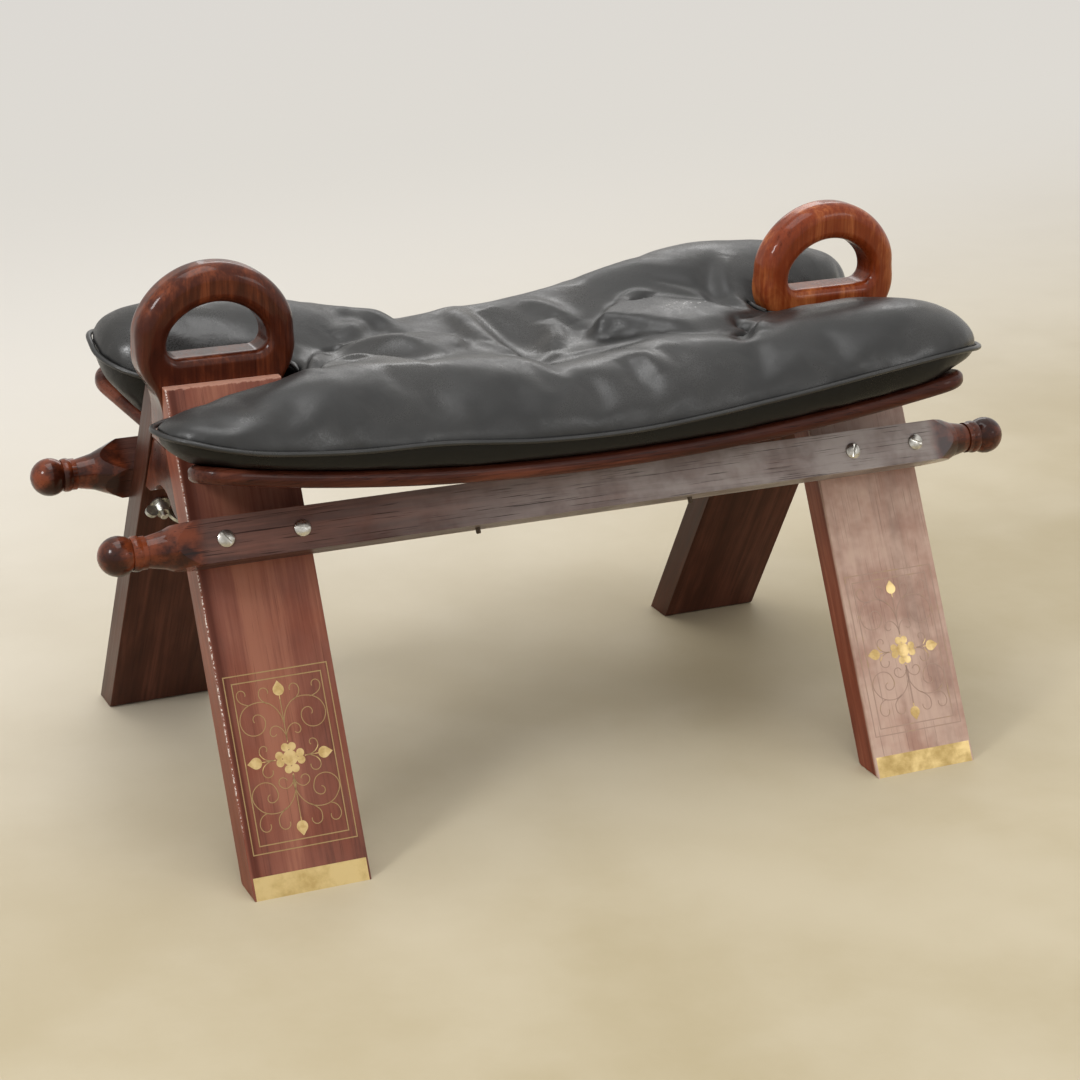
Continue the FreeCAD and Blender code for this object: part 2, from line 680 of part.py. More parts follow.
def make_seat_board(name, row):
    """Sawn to a saddle curve from thick stock, cut to its plan and rounded along the edge."""
    body = new_body(name)
    section = new_sketch(body, "section", "XZ_Plane")
    slab_section(section, "0", "board_thick", UNDER_RADIUS)
    feature(body, "Pad", "curve", section, Length=f"4 * {BOARD_HALF}", Midplane=True)
    waste = new_sketch(body, "waste", "XY_Plane")
    limit = f"({BOARD_HALF} + 40)"
    rectangle(waste, f"0 - {limit}", f"0 - 4 * {limit}", limit, f"4 * {limit}")
    plan_of_board(waste)
    feature(body, "Pocket", "plan", waste, Type="ThroughAll", Midplane=True)
    inner = value(BOARD_INNER)
    rounding(body, "nose", "board_nose",
             lambda e: middle(e).y > inner + 1 and abs(e.Vertexes[0].Z - e.Vertexes[-1].Z) < 11)
    for kind, rise, size in (("bore", "0", "screw_hole"), ("seat", SEAT_RISE, "screw_bore")):
        start = {"y": f"{AXIS_Y} - {rise} * sin{LEAN}", "z": f"{AXIS_Z} + {rise} * cos{LEAN}"}
        hole = new_sketch(body, kind, "XY_Plane", start, LEAN)
        for side in (-1, 1):
            circle(hole, (f"{side} * screw_spread / 2", "0"), size)
        feature(body, "Pocket", f"{kind}_cut", hole, Length="rail_height + 3 * board_thick",
                Reversed=True)
    lay_on_legs(body, row, CORNER_Y, CORNER_Z, "board_tilt")
    return finish(body)


def make_board_screws(name, row):
    """Two screws down through a seat board and its rail, with their points just showing."""
    body = new_body(name)
    half = new_sketch(body, "half", "XZ_Plane")
    low = "(0 - rail_height / 2 - screw_tip)"
    shank, head = "(screw_size / 2)", "(screw_head / 2)"
    outline(half, [
        ("0", low),
        (f"{shank} - 0.6", low),
        (shank, f"{low} + 0.6"),
        (shank, SEAT_RISE),
        (head, SEAT_RISE),
        (head, f"{SEAT_RISE} + screw_head_high - 0.8"),
        (f"{head} - 1", f"{SEAT_RISE} + screw_head_high"),
        ("0", f"{SEAT_RISE} + screw_head_high"),
    ])
    round_part = turned(body, "Revolution", "turning", half, "V_Axis")
    slot = new_sketch(body, "slot", "XY_Plane", {"z": f"{SEAT_RISE} + screw_head_high"})
    rectangle(slot, "0 - slot_wide / 2", "0 - screw_head", "slot_wide / 2", "screw_head")
    cut = feature(body, "Pocket", "slot_cut", slot, Length="slot_deep")
    pair_up(body, [round_part, cut], "screw_spread")
    lay_on_legs(body, row, RAIL_Y, RAIL_Z, "splay")
    body.setExpression("Placement.Base.x", cell(f"{-row} * screw_spread / 2"))
    return finish(body)


def pair_up(body, features, spread):
    """Repeat features once more, a spread further along X."""
    pattern = body.newObject("PartDesign::LinearPattern", f"{body.Name}_pair")
    pattern.Originals = features
    axis = next(f for f in body.Origin.OriginFeatures if f.Role == "X_Axis")
    pattern.Direction = (axis, [""])
    pattern.Occurrences = 2
    pattern.setExpression("Length", cell(spread))
    body.Tip = pattern
    return pattern


# ---------------------------------------------------------------- bolts, washers, wing nuts

# Along a bolt, measured outwards from the rail's middle: the leg's inner face, the washer on
# it and the wing nut's base.
LEG_INNER = "(0 - rail_thick / 2 - leg_thick)"
WASHER_FACE = f"({LEG_INNER} - washer_thick)"
NUT_BASE = f"({WASHER_FACE} - nut_gap)"
BOLT_END = f"({NUT_BASE} - nut_high - bolt_spare)"

# How far each slot and each wing is turned about its bolt, as they were left when tightened.
SLOT_TURNS = {"front_left_outer": 38, "front_left_inner": 82, "front_right_inner": -18,
              "front_right_outer": 64}
WING_TURNS = {"rear_left_outer": 24, "rear_left_inner": -35, "front_left_outer": 10,
              "front_left_inner": 52}


class BoltSpot:
    """One of the two bolt places on a leg: outer is the one nearer the end of the stool."""

    def __init__(self, corner, which):
        self.corner, self.which = corner, which
        self.name = f"{corner.name}_{which}"
        step = corner.side * (1 if which == "outer" else -1)
        self.x = f"({corner.x} + {step} * bolt_spread / 2)"

    def set(self, part, turn):
        """Place a part made about the Y axis of its own frame on this bolt's line."""
        lay_on_legs(part, self.corner.row, RAIL_Y, RAIL_Z, "splay")
        roll = FreeCAD.Rotation(Vector(0, 1, 0), turn)
        part.Placement = FreeCAD.Placement(part.Placement.Base, part.Placement.Rotation * roll)
        part.setExpression("Placement.Base.x", cell(self.x))


BOLT_SPOTS = [BoltSpot(corner, which) for corner in CORNERS for which in ("outer", "inner")]


def make_bolt(spot):
    """A round-headed bolt with a slot, through the rail and the leg."""
    body = new_body(f"bolt_{spot.name}")
    half = new_sketch(body, "half", "XY_Plane")
    seat, shank, head = "(rail_thick / 2)", "(bolt_size / 2)", "(head_size / 2)"
    rim = "(head_high / 3)"
    dome = f"(({head} ^ 2 + (head_high - {rim}) ^ 2) / (2 * (head_high - {rim})))"
    outline(half, [
        ("0", BOLT_END),
        (f"{shank} - 0.8", BOLT_END),
        (shank, f"{BOLT_END} + 0.8"),
        (shank, seat),
        (head, seat),
        (head, f"{seat} + {rim}", dome, -1),
        ("0", f"{seat} + head_high"),
    ])
    turned(body, "Revolution", "turning", half, "V_Axis")
    slot = new_sketch(body, "slot", "XZ_Plane", {"z": f"0 - {seat} - head_high"})
    rectangle(slot, "0 - slot_wide / 2", "0 - head_size", "slot_wide / 2", "head_size")
    feature(body, "Pocket", "slot_cut", slot, Length="slot_deep", Reversed=True)
    spot.set(body, SLOT_TURNS.get(spot.name, 0))
    return finish(body)


def make_washers(corner):
    """The two washers between a leg and its wing nuts."""
    body = new_body(f"washers_{corner.name}")
    rings = new_sketch(body, "rings", "XZ_Plane", {"z": f"0 - {LEG_INNER}"})
    for side in (-1, 1):
        for size in ("washer_size", "bolt_hole"):
            circle(rings, (f"{side} * bolt_spread / 2", "0"), size)
    feature(body, "Pad", "rings_pad", rings, Length="washer_thick")
    lay_on_legs(body, corner.row, RAIL_Y, RAIL_Z, "splay")
    body.setExpression("Placement.Base.x", cell(corner.x))
    return finish(body)


def make_wing_nut(spot):
    """A cast nut with two ears, free to turn on its bolt."""
    body = new_body(f"wing_nut_{spot.name}")
    half = new_sketch(body, "half", "XY_Plane")
    top = f"({NUT_BASE} - nut_high)"
    outline(half, [
        ("0", NUT_BASE),
        ("nut_base / 2", NUT_BASE),
        ("nut_base / 2", f"{NUT_BASE} - wing_root"),
        ("nut_neck / 2", top),
        ("0", top),
    ])
    turned(body, "Revolution", "hub", half, "V_Axis")
    reach = "(wing_span / 2)"
    for ear, way in (("right", "1"), ("left", "-1")):
        wing = new_sketch(body, f"wing_{ear}", "XY_Plane")
        root, low, tip = f"{NUT_BASE} - wing_root", "nut_high * 0.55", "wing_high"
        side = int(way)
        outline(wing, [
            (f"{way} * bolt_size / 2", root),
            (f"{way} * ({reach} - 4)", f"{root} - 1.5", "5.5", side),
            (f"{way} * {reach}", f"{NUT_BASE} - {low} - 3", "4", side),
            (f"{way} * ({reach} - 4)", f"{NUT_BASE} - {tip}", "9", side),
            (f"{way} * nut_neck / 2", f"{NUT_BASE} - nut_high + 1"),
            (f"{way} * bolt_size / 2", f"{NUT_BASE} - nut_high + 1"),
        ])
        feature(body, "Pad", f"ear_{ear}", wing, Length="wing_thick", Midplane=True)
    bore = new_sketch(body, "bore", "XZ_Plane")
    circle(bore, ("0", "0"), "bolt_size + 2 * nut_fit")
    feature(body, "Pocket", "bore_cut", bore, Type="ThroughAll", Midplane=True)
    spot.set(body, WING_TURNS.get(spot.name, 0))
    return finish(body)


# ---------------------------------------------------------------- cushion

# Sections of the cushion along the stool: share of its half length, what its half width has over
# that at mid length, and the heights of the front crest, the rear crest, the hollow and the seam
# in swells above the front crest at mid length. The filling has moved, so no two are alike.
STATIONS = [
    (-1.0, None, -0.08, 0.12, -0.35, None),
    (-0.7, 6.0, 0.73, 1.15, 0.10, -0.65),
    (-0.36, 2.0, 0.38, 0.50, -0.10, -1.00),
    (0.0, 0.0, 0.00, 0.31, -0.36, -1.31),
    (0.36, 2.0, 0.31, 0.88, -0.35, -1.00),
    (0.7, 6.0, 1.08, 1.35, 0.19, -0.38),
    (1.0, None, -0.23, -0.23, -0.50, None),
]


def cushion_section(body, number, station):
    """One cross-section: straight sides up to the seam, a swell on each side and a hollow between.

    Each swell is an arc that is level at its crest. Two arcs of one radius lead from there down
    into the hollow, which is level at the middle line, so there is no break.
    """
    share, more, *rises, seam_rise = station
    level = f"({CORNER_Z} + cushion_loft)"
    front, rear, hollow = (f"({level} + {rise} * cushion_swell)" for rise in rises)
    wide = "cushion_tip" if more is None else (
        f"({CORNER_Y} + board_waist * cos(board_tilt) + cushion_overhang + {more})")
    section = new_sketch(body, f"section_{number}", "YZ_Plane", {"z": f"{share} * {CUSHION_HALF}"})

    def half(crest):
        """The seam's height, the radius out to it, the radius of the hollow and the turning point."""
        seam = f"({crest} - cushion_lip)" if seam_rise is None else f"({level} + {seam_rise} * cushion_swell)"
        drop, across = f"({crest} - {seam})", f"({wide} - cushion_crest)"
        sink = f"({crest} - {hollow})"
        return (seam, f"(({across} ^ 2 + {drop} ^ 2) / (2 * {drop}))",
                f"((cushion_crest ^ 2 + {sink} ^ 2) / (4 * {sink}))", f"(({crest} + {hollow}) / 2)")
    front_seam, front_edge, front_bend, front_turn = half(front)
    rear_seam, rear_edge, rear_bend, rear_turn = half(rear)
    outline(section, [
        (f"0 - {wide}", "leg_rise / 2"),
        (wide, "leg_rise / 2"),
        (wide, rear_seam, rear_edge, -1),
        ("cushion_crest", rear, rear_bend, -1),
        ("cushion_crest / 2", rear_turn, rear_bend, 1),
        ("0", hollow, front_bend, 1),
        ("0 - cushion_crest / 2", front_turn, front_bend, -1),
        ("0 - cushion_crest", front, front_edge, -1),
        (f"0 - {wide}", front_seam),
    ])
    return section


def make_cushion():
    """The upholstered pad: two swells with a hollow between them, that rise towards the ends of the
    saddle and fall away at the tips. It lies on the boards and is notched round the end frames."""
    body = new_body("cushion")
    sections = [cushion_section(body, number, station) for number, station in enumerate(STATIONS)]
    feature(body, "AdditiveLoft", "swell", sections[0], Sections=sections[1:])

    wide = f"({CUSHION_HALF} + 20)"
    for label, row in (("front", -1), ("rear", 1)):
        below = new_sketch(body, f"below_{label}", "XZ_Plane",
                           {"y": CORNER_Z, "z": f"{-row} * {CORNER_Y}"}, f"{row} * board_tilt")
        skin = "(board_thick + cushion_gap)"
        radius = f"({UNDER_RADIUS} - {skin})"
        level = f"({UNDER_RADIUS} - sqrt({radius} ^ 2 - {wide} ^ 2))"
        outline(below, [
            (f"0 - {wide}", level, radius, -1),
            (wide, level),
            (wide, "0 - leg_rise"),
            (f"0 - {wide}", "0 - leg_rise"),
        ])
        feature(body, "Pocket", f"seat_{label}", below, Type="ThroughAll", Midplane=True)

    notch_x = f"({FRAME_X} - head_width / 2 - notch_gap)"
    side = f"({FACE_TOP} + notch_gap / cos(splay))"
    foot = f"({side} + leg_rise / 2 * tan(splay))"
    shoulder = f"({side} + lobe_drop * tan(splay))"
    for label, way in (("right", 1), ("left", -1)):
        notch = new_sketch(body, f"notch_{label}", "YZ_Plane", {"z": f"{way} * {notch_x}"})
        outline(notch, [
            (f"0 - {foot}", "leg_rise / 2"),
            (foot, "leg_rise / 2"),
            (shoulder, "leg_rise - lobe_drop", "lobe_round", 1),
            (f"{shoulder} + lobe_round", "leg_rise - lobe_drop + lobe_round"),
            (f"{shoulder} + lobe_round", "2 * leg_rise"),
            (f"0 - {shoulder} - lobe_round", "2 * leg_rise"),
            (f"0 - {shoulder} - lobe_round", "leg_rise - lobe_drop + lobe_round", "lobe_round", 1),
            (f"0 - {shoulder}", "leg_rise - lobe_drop"),
        ])
        feature(body, "Pocket", f"notch_cut_{label}", notch, Length=CUSHION_HALF,
                Reversed=way > 0)
    return finish(body)


def build():
    for corner in CORNERS:
        make_leg(corner)
        make_strip(corner)
        make_inlay(corner)
        make_washers(corner)
    for name, side in (("left", -1), ("right", 1)):
        make_pommel(f"pommel_{name}", side)
        make_apron(f"apron_{name}", side)
    for name, row in (("front", -1), ("rear", 1)):
        make_rail(f"rail_{name}", row)
        make_seat_board(f"seat_board_{name}", row)
        make_board_screws(f"board_screws_{name}", row)
    for spot in BOLT_SPOTS:
        make_bolt(spot)
        make_wing_nut(spot)
    make_cushion()


def export():
    """Check every object and every finished shape, then write one STEP file for each."""
    broken = [item.Name for item in doc.Objects if {"Invalid", "Error"} & set(item.State)]
    broken += [part.Label for part in PARTS if part.Shape.isNull() or not part.Shape.isValid()]
    if broken:
        raise RuntimeError("not built: " + ", ".join(broken))
    os.makedirs("parts", exist_ok=True)
    for part in PARTS:
        box = part.Shape.BoundBox
        print(f"{part.Label:28s} {len(part.Shape.Solids)} solids {part.Shape.Volume:12.1f} mm3  "
              f"x {box.XMin:7.1f}..{box.XMax:7.1f} y {box.YMin:7.1f}..{box.YMax:7.1f} "
              f"z {box.ZMin:6.1f}..{box.ZMax:6.1f}")
        part.Shape.exportStep(os.path.join("parts", part.Label + ".step"))


if __name__ == "__main__":
    build()
    doc.recompute()
    export()
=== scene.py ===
"""Camel saddle stool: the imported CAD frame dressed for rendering.

Lengths are written in millimetres and turned into metres where a mesh is made. The origin is on
the floor under the middle of the stool, +X runs along the saddle, +Y to the rear and +Z up.
"""

from __future__ import annotations

import json
import logging
import math
from dataclasses import dataclass
from enum import Enum
from typing import Sequence

import bpy
import numpy as np
from mathutils import Matrix, Vector
from mathutils.geometry import delaunay_2d_cdt

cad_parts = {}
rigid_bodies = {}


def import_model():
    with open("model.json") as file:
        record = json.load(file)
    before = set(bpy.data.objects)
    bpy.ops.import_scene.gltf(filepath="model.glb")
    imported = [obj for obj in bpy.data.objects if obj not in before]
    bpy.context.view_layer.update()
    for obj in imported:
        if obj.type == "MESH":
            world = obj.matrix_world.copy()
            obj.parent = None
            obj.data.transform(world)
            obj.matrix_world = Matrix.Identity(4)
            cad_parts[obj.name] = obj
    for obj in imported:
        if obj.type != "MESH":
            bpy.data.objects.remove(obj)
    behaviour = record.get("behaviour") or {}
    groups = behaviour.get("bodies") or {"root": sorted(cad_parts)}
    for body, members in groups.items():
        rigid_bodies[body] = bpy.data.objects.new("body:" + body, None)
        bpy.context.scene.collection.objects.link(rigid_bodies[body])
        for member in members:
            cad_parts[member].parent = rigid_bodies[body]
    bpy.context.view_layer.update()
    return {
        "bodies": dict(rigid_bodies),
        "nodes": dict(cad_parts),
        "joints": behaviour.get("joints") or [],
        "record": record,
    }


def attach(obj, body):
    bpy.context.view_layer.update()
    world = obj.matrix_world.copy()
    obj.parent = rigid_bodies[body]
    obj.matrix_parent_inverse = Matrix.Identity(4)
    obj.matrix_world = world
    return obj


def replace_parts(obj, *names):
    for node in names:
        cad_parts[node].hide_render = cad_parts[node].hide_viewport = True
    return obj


LOG = logging.getLogger("stool")
MM = 0.001
ROOT = "stool"
SPLAY = math.radians(28.0)          # lean of a leg from the upright
LEG_X = 249.5                       # middle of an end frame
LEG_FOOT = 191.616                  # a leg's outer face at the floor, from the middle line
FLOWER_UP = 93.4                    # an inlay's middle, up the leg's face from the floor
Triple = tuple[float, float, float]
Colour = Triple                     # linear red, green and blue
Piece = bpy.types.Object
Socket = bpy.types.NodeSocket


class End(Enum):
    """The two ends of the stool, by the sign of X."""

    LEFT = -1
    RIGHT = 1


class Row(Enum):
    """The two long sides of the stool, by the sign of Y."""

    FRONT = -1
    REAR = 1


class Grain(Enum):
    """Which way the fibres of a board run."""

    ALONG = "along the saddle"
    FRONT_LEG = "down a front leg"
    REAR_LEG = "down a rear leg"
    UPRIGHT = "upright"


# ---------------------------------------------------------------- meshes


def grid_faces(rows: int, columns: int, wrap_rows: bool = False, wrap_columns: bool = False) -> np.ndarray:
    """Quads that join the points of a grid, counted row by row.

    Args:
        rows: number of points down the grid.
        columns: number of points across it.
        wrap_rows: whether the last row joins the first.
        wrap_columns: whether the last column joins the first.

    Returns:
        An (n, 4) array of point numbers.
    """
    down = np.arange(rows if wrap_rows else rows - 1)
    across = np.arange(columns if wrap_columns else columns - 1)
    i, j = np.meshgrid(down, across, indexing="ij")
    i, j = i.ravel(), j.ravel()
    after_i, after_j = (i + 1) % rows, (j + 1) % columns
    return np.stack([i * columns + j, after_i * columns + j,
                     after_i * columns + after_j, i * columns + after_j], axis=1)


def link(made: Piece) -> Piece:
    """Put an object into the scene."""
    bpy.context.scene.collection.objects.link(made)
    return made


def read(mesh: bpy.types.Mesh, what: str = "co") -> np.ndarray:
    """The places or normals of a mesh's points, (n, 3), as Blender holds them."""
    values = np.empty(len(mesh.vertices) * 3)
    mesh.vertices.foreach_get(what, values)
    return values.reshape(-1, 3)


def write(mesh: bpy.types.Mesh, points: np.ndarray) -> None:
    """Move a mesh's points to the given ones, in millimetres."""
    mesh.vertices.foreach_set("co", (points * MM).ravel())
    mesh.update()


def unit(vectors: np.ndarray) -> np.ndarray:
    """Rows brought to length 1."""
    return vectors / np.linalg.norm(vectors, axis=1)[:, None]


def make_object(name: str, points: np.ndarray, faces: Sequence, smooth: bool = True) -> Piece:
    """Make a mesh object from points in millimetres.

    Args:
        name: name of the object.
        points: (n, 3) array in millimetres.
        faces: point numbers of each face.
        smooth: whether the faces are shaded smooth.

    Returns:
        The object, linked to the scene.
    """
    mesh = bpy.data.meshes.new(name)
    mesh.from_pydata((np.asarray(points) * MM).tolist(), [], [list(map(int, f)) for f in faces])
    mesh.polygons.foreach_set("use_smooth", [smooth] * len(mesh.polygons))
    mesh.update()
    return link(bpy.data.objects.new(name, mesh))


def sweep(path: np.ndarray, across: np.ndarray, up: np.ndarray, section: np.ndarray,
          closed: bool = False) -> tuple[np.ndarray, list]:
    """Carry a closed section along a path.

    Each point of the surface is the path's point plus the section's first coordinate along the
    across direction and its second along the up direction.

    Args:
        path: (n, 3) points.
        across: (n, 3) unit directions.
        up: (n, 3) unit directions.
        section: (m, 2) points, or (n, m, 2) where the section changes along the path.
        closed: whether the path closes on itself; if not, its ends are capped.

    Returns:
        Points and faces.
    """
    section = np.broadcast_to(section, (len(path),) + section.shape[-2:])
    points = (path[:, None] + section[..., 0:1] * across[:, None] + section[..., 1:2] * up[:, None])
    count = section.shape[1]
    faces = grid_faces(len(path), count, closed, True).tolist()
    if not closed:
        faces.append(list(range(count)))
        faces.append([(len(path) - 1) * count + k for k in reversed(range(count))])
    return points.reshape(-1, 3), faces


def smooth_curve(stops: np.ndarray, step: float, closed: bool = True) -> np.ndarray:
    """A smooth curve through the stops with evenly spaced points.

    It is a Catmull-Rom curve: each stretch is the cubic whose slope at a stop is half the way
    from the stop before to the stop after. It is then spaced out by its own length.

    Args:
        stops: (n, d) points.
        step: distance between the points of the result.
        closed: whether the last stop joins the first.

    Returns:
        (m, d) points.
    """
    stops = np.asarray(stops, float)
    if closed:
        ring = np.vstack([stops[-1:], stops, stops[:2]])
    else:
        ring = np.vstack([2 * stops[:1] - stops[1:2], stops, 2 * stops[-1:] - stops[-2:-1]])
    share = np.linspace(0, 1, 24, endpoint=False)[:, None]
    pieces = []
    for a, b, c, d in zip(ring[:-3], ring[1:-2], ring[2:-1], ring[3:]):
        pieces.append(0.5 * (2 * b + (c - a) * share + (2 * a - 5 * b + 4 * c - d) * share ** 2
                             + (3 * b - a - 3 * c + d) * share ** 3))
    dense = np.vstack(pieces + [stops[:1] if closed else stops[-1:]])
    length = np.concatenate([[0], np.cumsum(np.linalg.norm(np.diff(dense[:, :3], axis=0), axis=1))])
    count = max(8, int(round(length[-1] / step)))
    even = np.linspace(0, length[-1], count + 1)
    if closed:
        even = even[:-1]
    return np.stack([np.interp(even, length, dense[:, k]) for k in range(dense.shape[1])], axis=1)


# ---------------------------------------------------------------- shaders


class Shader:
    """A material's node tree, with one short call for each kind of node."""

    def __init__(self, name: str) -> None:
        """Start a material that holds a Principled shader."""
        self.material = bpy.data.materials.new(name)
        self.material.use_nodes = True
        self.tree = self.material.node_tree
        self.tree.nodes.clear()
        self.output = self.tree.nodes.new("ShaderNodeOutputMaterial")
        self.surface = self.tree.nodes.new("ShaderNodeBsdfPrincipled")
        self.tree.links.new(self.surface.outputs[0], self.output.inputs[0])

    def node(self, kind: str, settings: dict | None = None, **inputs: object) -> bpy.types.Node:
        """Add a node.

        Args:
            kind: the node's type without its ShaderNode prefix.
            settings: attributes to set on the node.
            inputs: values or sockets for the node's inputs, by name with _ for a blank.

        Returns:
            The node.
        """
        made = self.tree.nodes.new("ShaderNode" + kind)
        for key, setting in (settings or {}).items():
            setattr(made, key, setting)
        for key, given in inputs.items():
            self.put(made.inputs[key.replace("_", " ")], given)
        return made

    def put(self, socket: Socket, given: object) -> None:
        """Give a socket a value, or join another node's output to it."""
        if isinstance(given, Socket):
            self.tree.links.new(given, socket)
        elif isinstance(given, tuple) and len(given) == 3 and socket.type == "RGBA":
            socket.default_value = (*given, 1.0)
        else:
            socket.default_value = given

    def set(self, **inputs: object) -> None:
        """Give the Principled shader's inputs, by name with _ for a blank."""
        for key, given in inputs.items():
            self.put(self.surface.inputs[key.replace("_", " ")], given)

    def here(self) -> Socket:
        """Object coordinates, in metres."""
        return self.node("TexCoord").outputs["Object"]

    def place(self, turn: Triple = (0, 0, 0), shift: Triple = (0, 0, 0)) -> Socket:
        """Object coordinates turned about the axes and then shifted."""
        return self.node("Mapping", Vector=self.here(), Rotation=turn, Location=shift).outputs[0]

    def vectors(self, operation: str, *values: object) -> Socket:
        """A Vector Math node's result."""
        made = self.node("VectorMath", {"operation": operation})
        for socket, given in zip(made.inputs, values):
            self.put(socket, given)
        return made.outputs["Value" if operation == "DISTANCE" else "Vector"]

    def stretch(self, vector: Socket, *by: float) -> Socket:
        """A vector multiplied by three numbers."""
        return self.vectors("MULTIPLY", vector, by)

    def split(self, vector: Socket) -> tuple:
        """The three parts of a vector."""
        return tuple(self.node("SeparateXYZ", Vector=vector).outputs)

    def maths(self, operation: str, *values: object) -> Socket:
        """A Math node's result."""
        made = self.node("Math", {"operation": operation})
        for socket, given in zip(made.inputs, values):
            self.put(socket, given)
        return made.outputs[0]

    def times(self, one: object, two: object) -> Socket:
        """A product."""
        return self.maths("MULTIPLY", one, two)

    def total(self, *parts: tuple[Socket, float]) -> Socket:
        """The sum of the parts, each times its weight."""
        found = self.times(*parts[0])
        for part in parts[1:]:
            found = self.maths("ADD", found, self.times(*part))
        return found

    def noise(self, vector: Socket, scale: float, detail: float = 2.0,
              roughness: float = 0.5, distortion: float = 0.0) -> Socket:
        """Noise from 0 to 1, about 0.5."""
        return self.node("TexNoise", Vector=vector, Scale=scale, Detail=detail, Roughness=roughness,
                         Distortion=distortion).outputs["Fac"]

    def between(self, given: Socket, low: float, high: float, start: float = 0.0,
                end: float = 1.0) -> Socket:
        """A value that goes smoothly from start to end as the given one goes from low to high."""
        return self.node("MapRange", {"interpolation_type": "SMOOTHSTEP"}, Value=given, From_Min=low,
                         From_Max=high, To_Min=start, To_Max=end).outputs[0]

    def blend(self, share: object, one: object, two: object) -> Socket:
        """Two colours mixed."""
        made = self.node("Mix", {"data_type": "RGBA"})
        for socket, given in zip((made.inputs[0], made.inputs[6], made.inputs[7]), (share, one, two)):
            self.put(socket, given)
        return made.outputs[2]

    def bump(self, height: Socket, strength: float, distance: float,
             under: Socket | None = None) -> Socket:
        """A bumped normal, laid over another one where it is given."""
        made = self.node("Bump", Height=height, Strength=strength, Distance=distance)
        if under is not None:
            self.put(made.inputs["Normal"], under)
        return made.outputs[0]


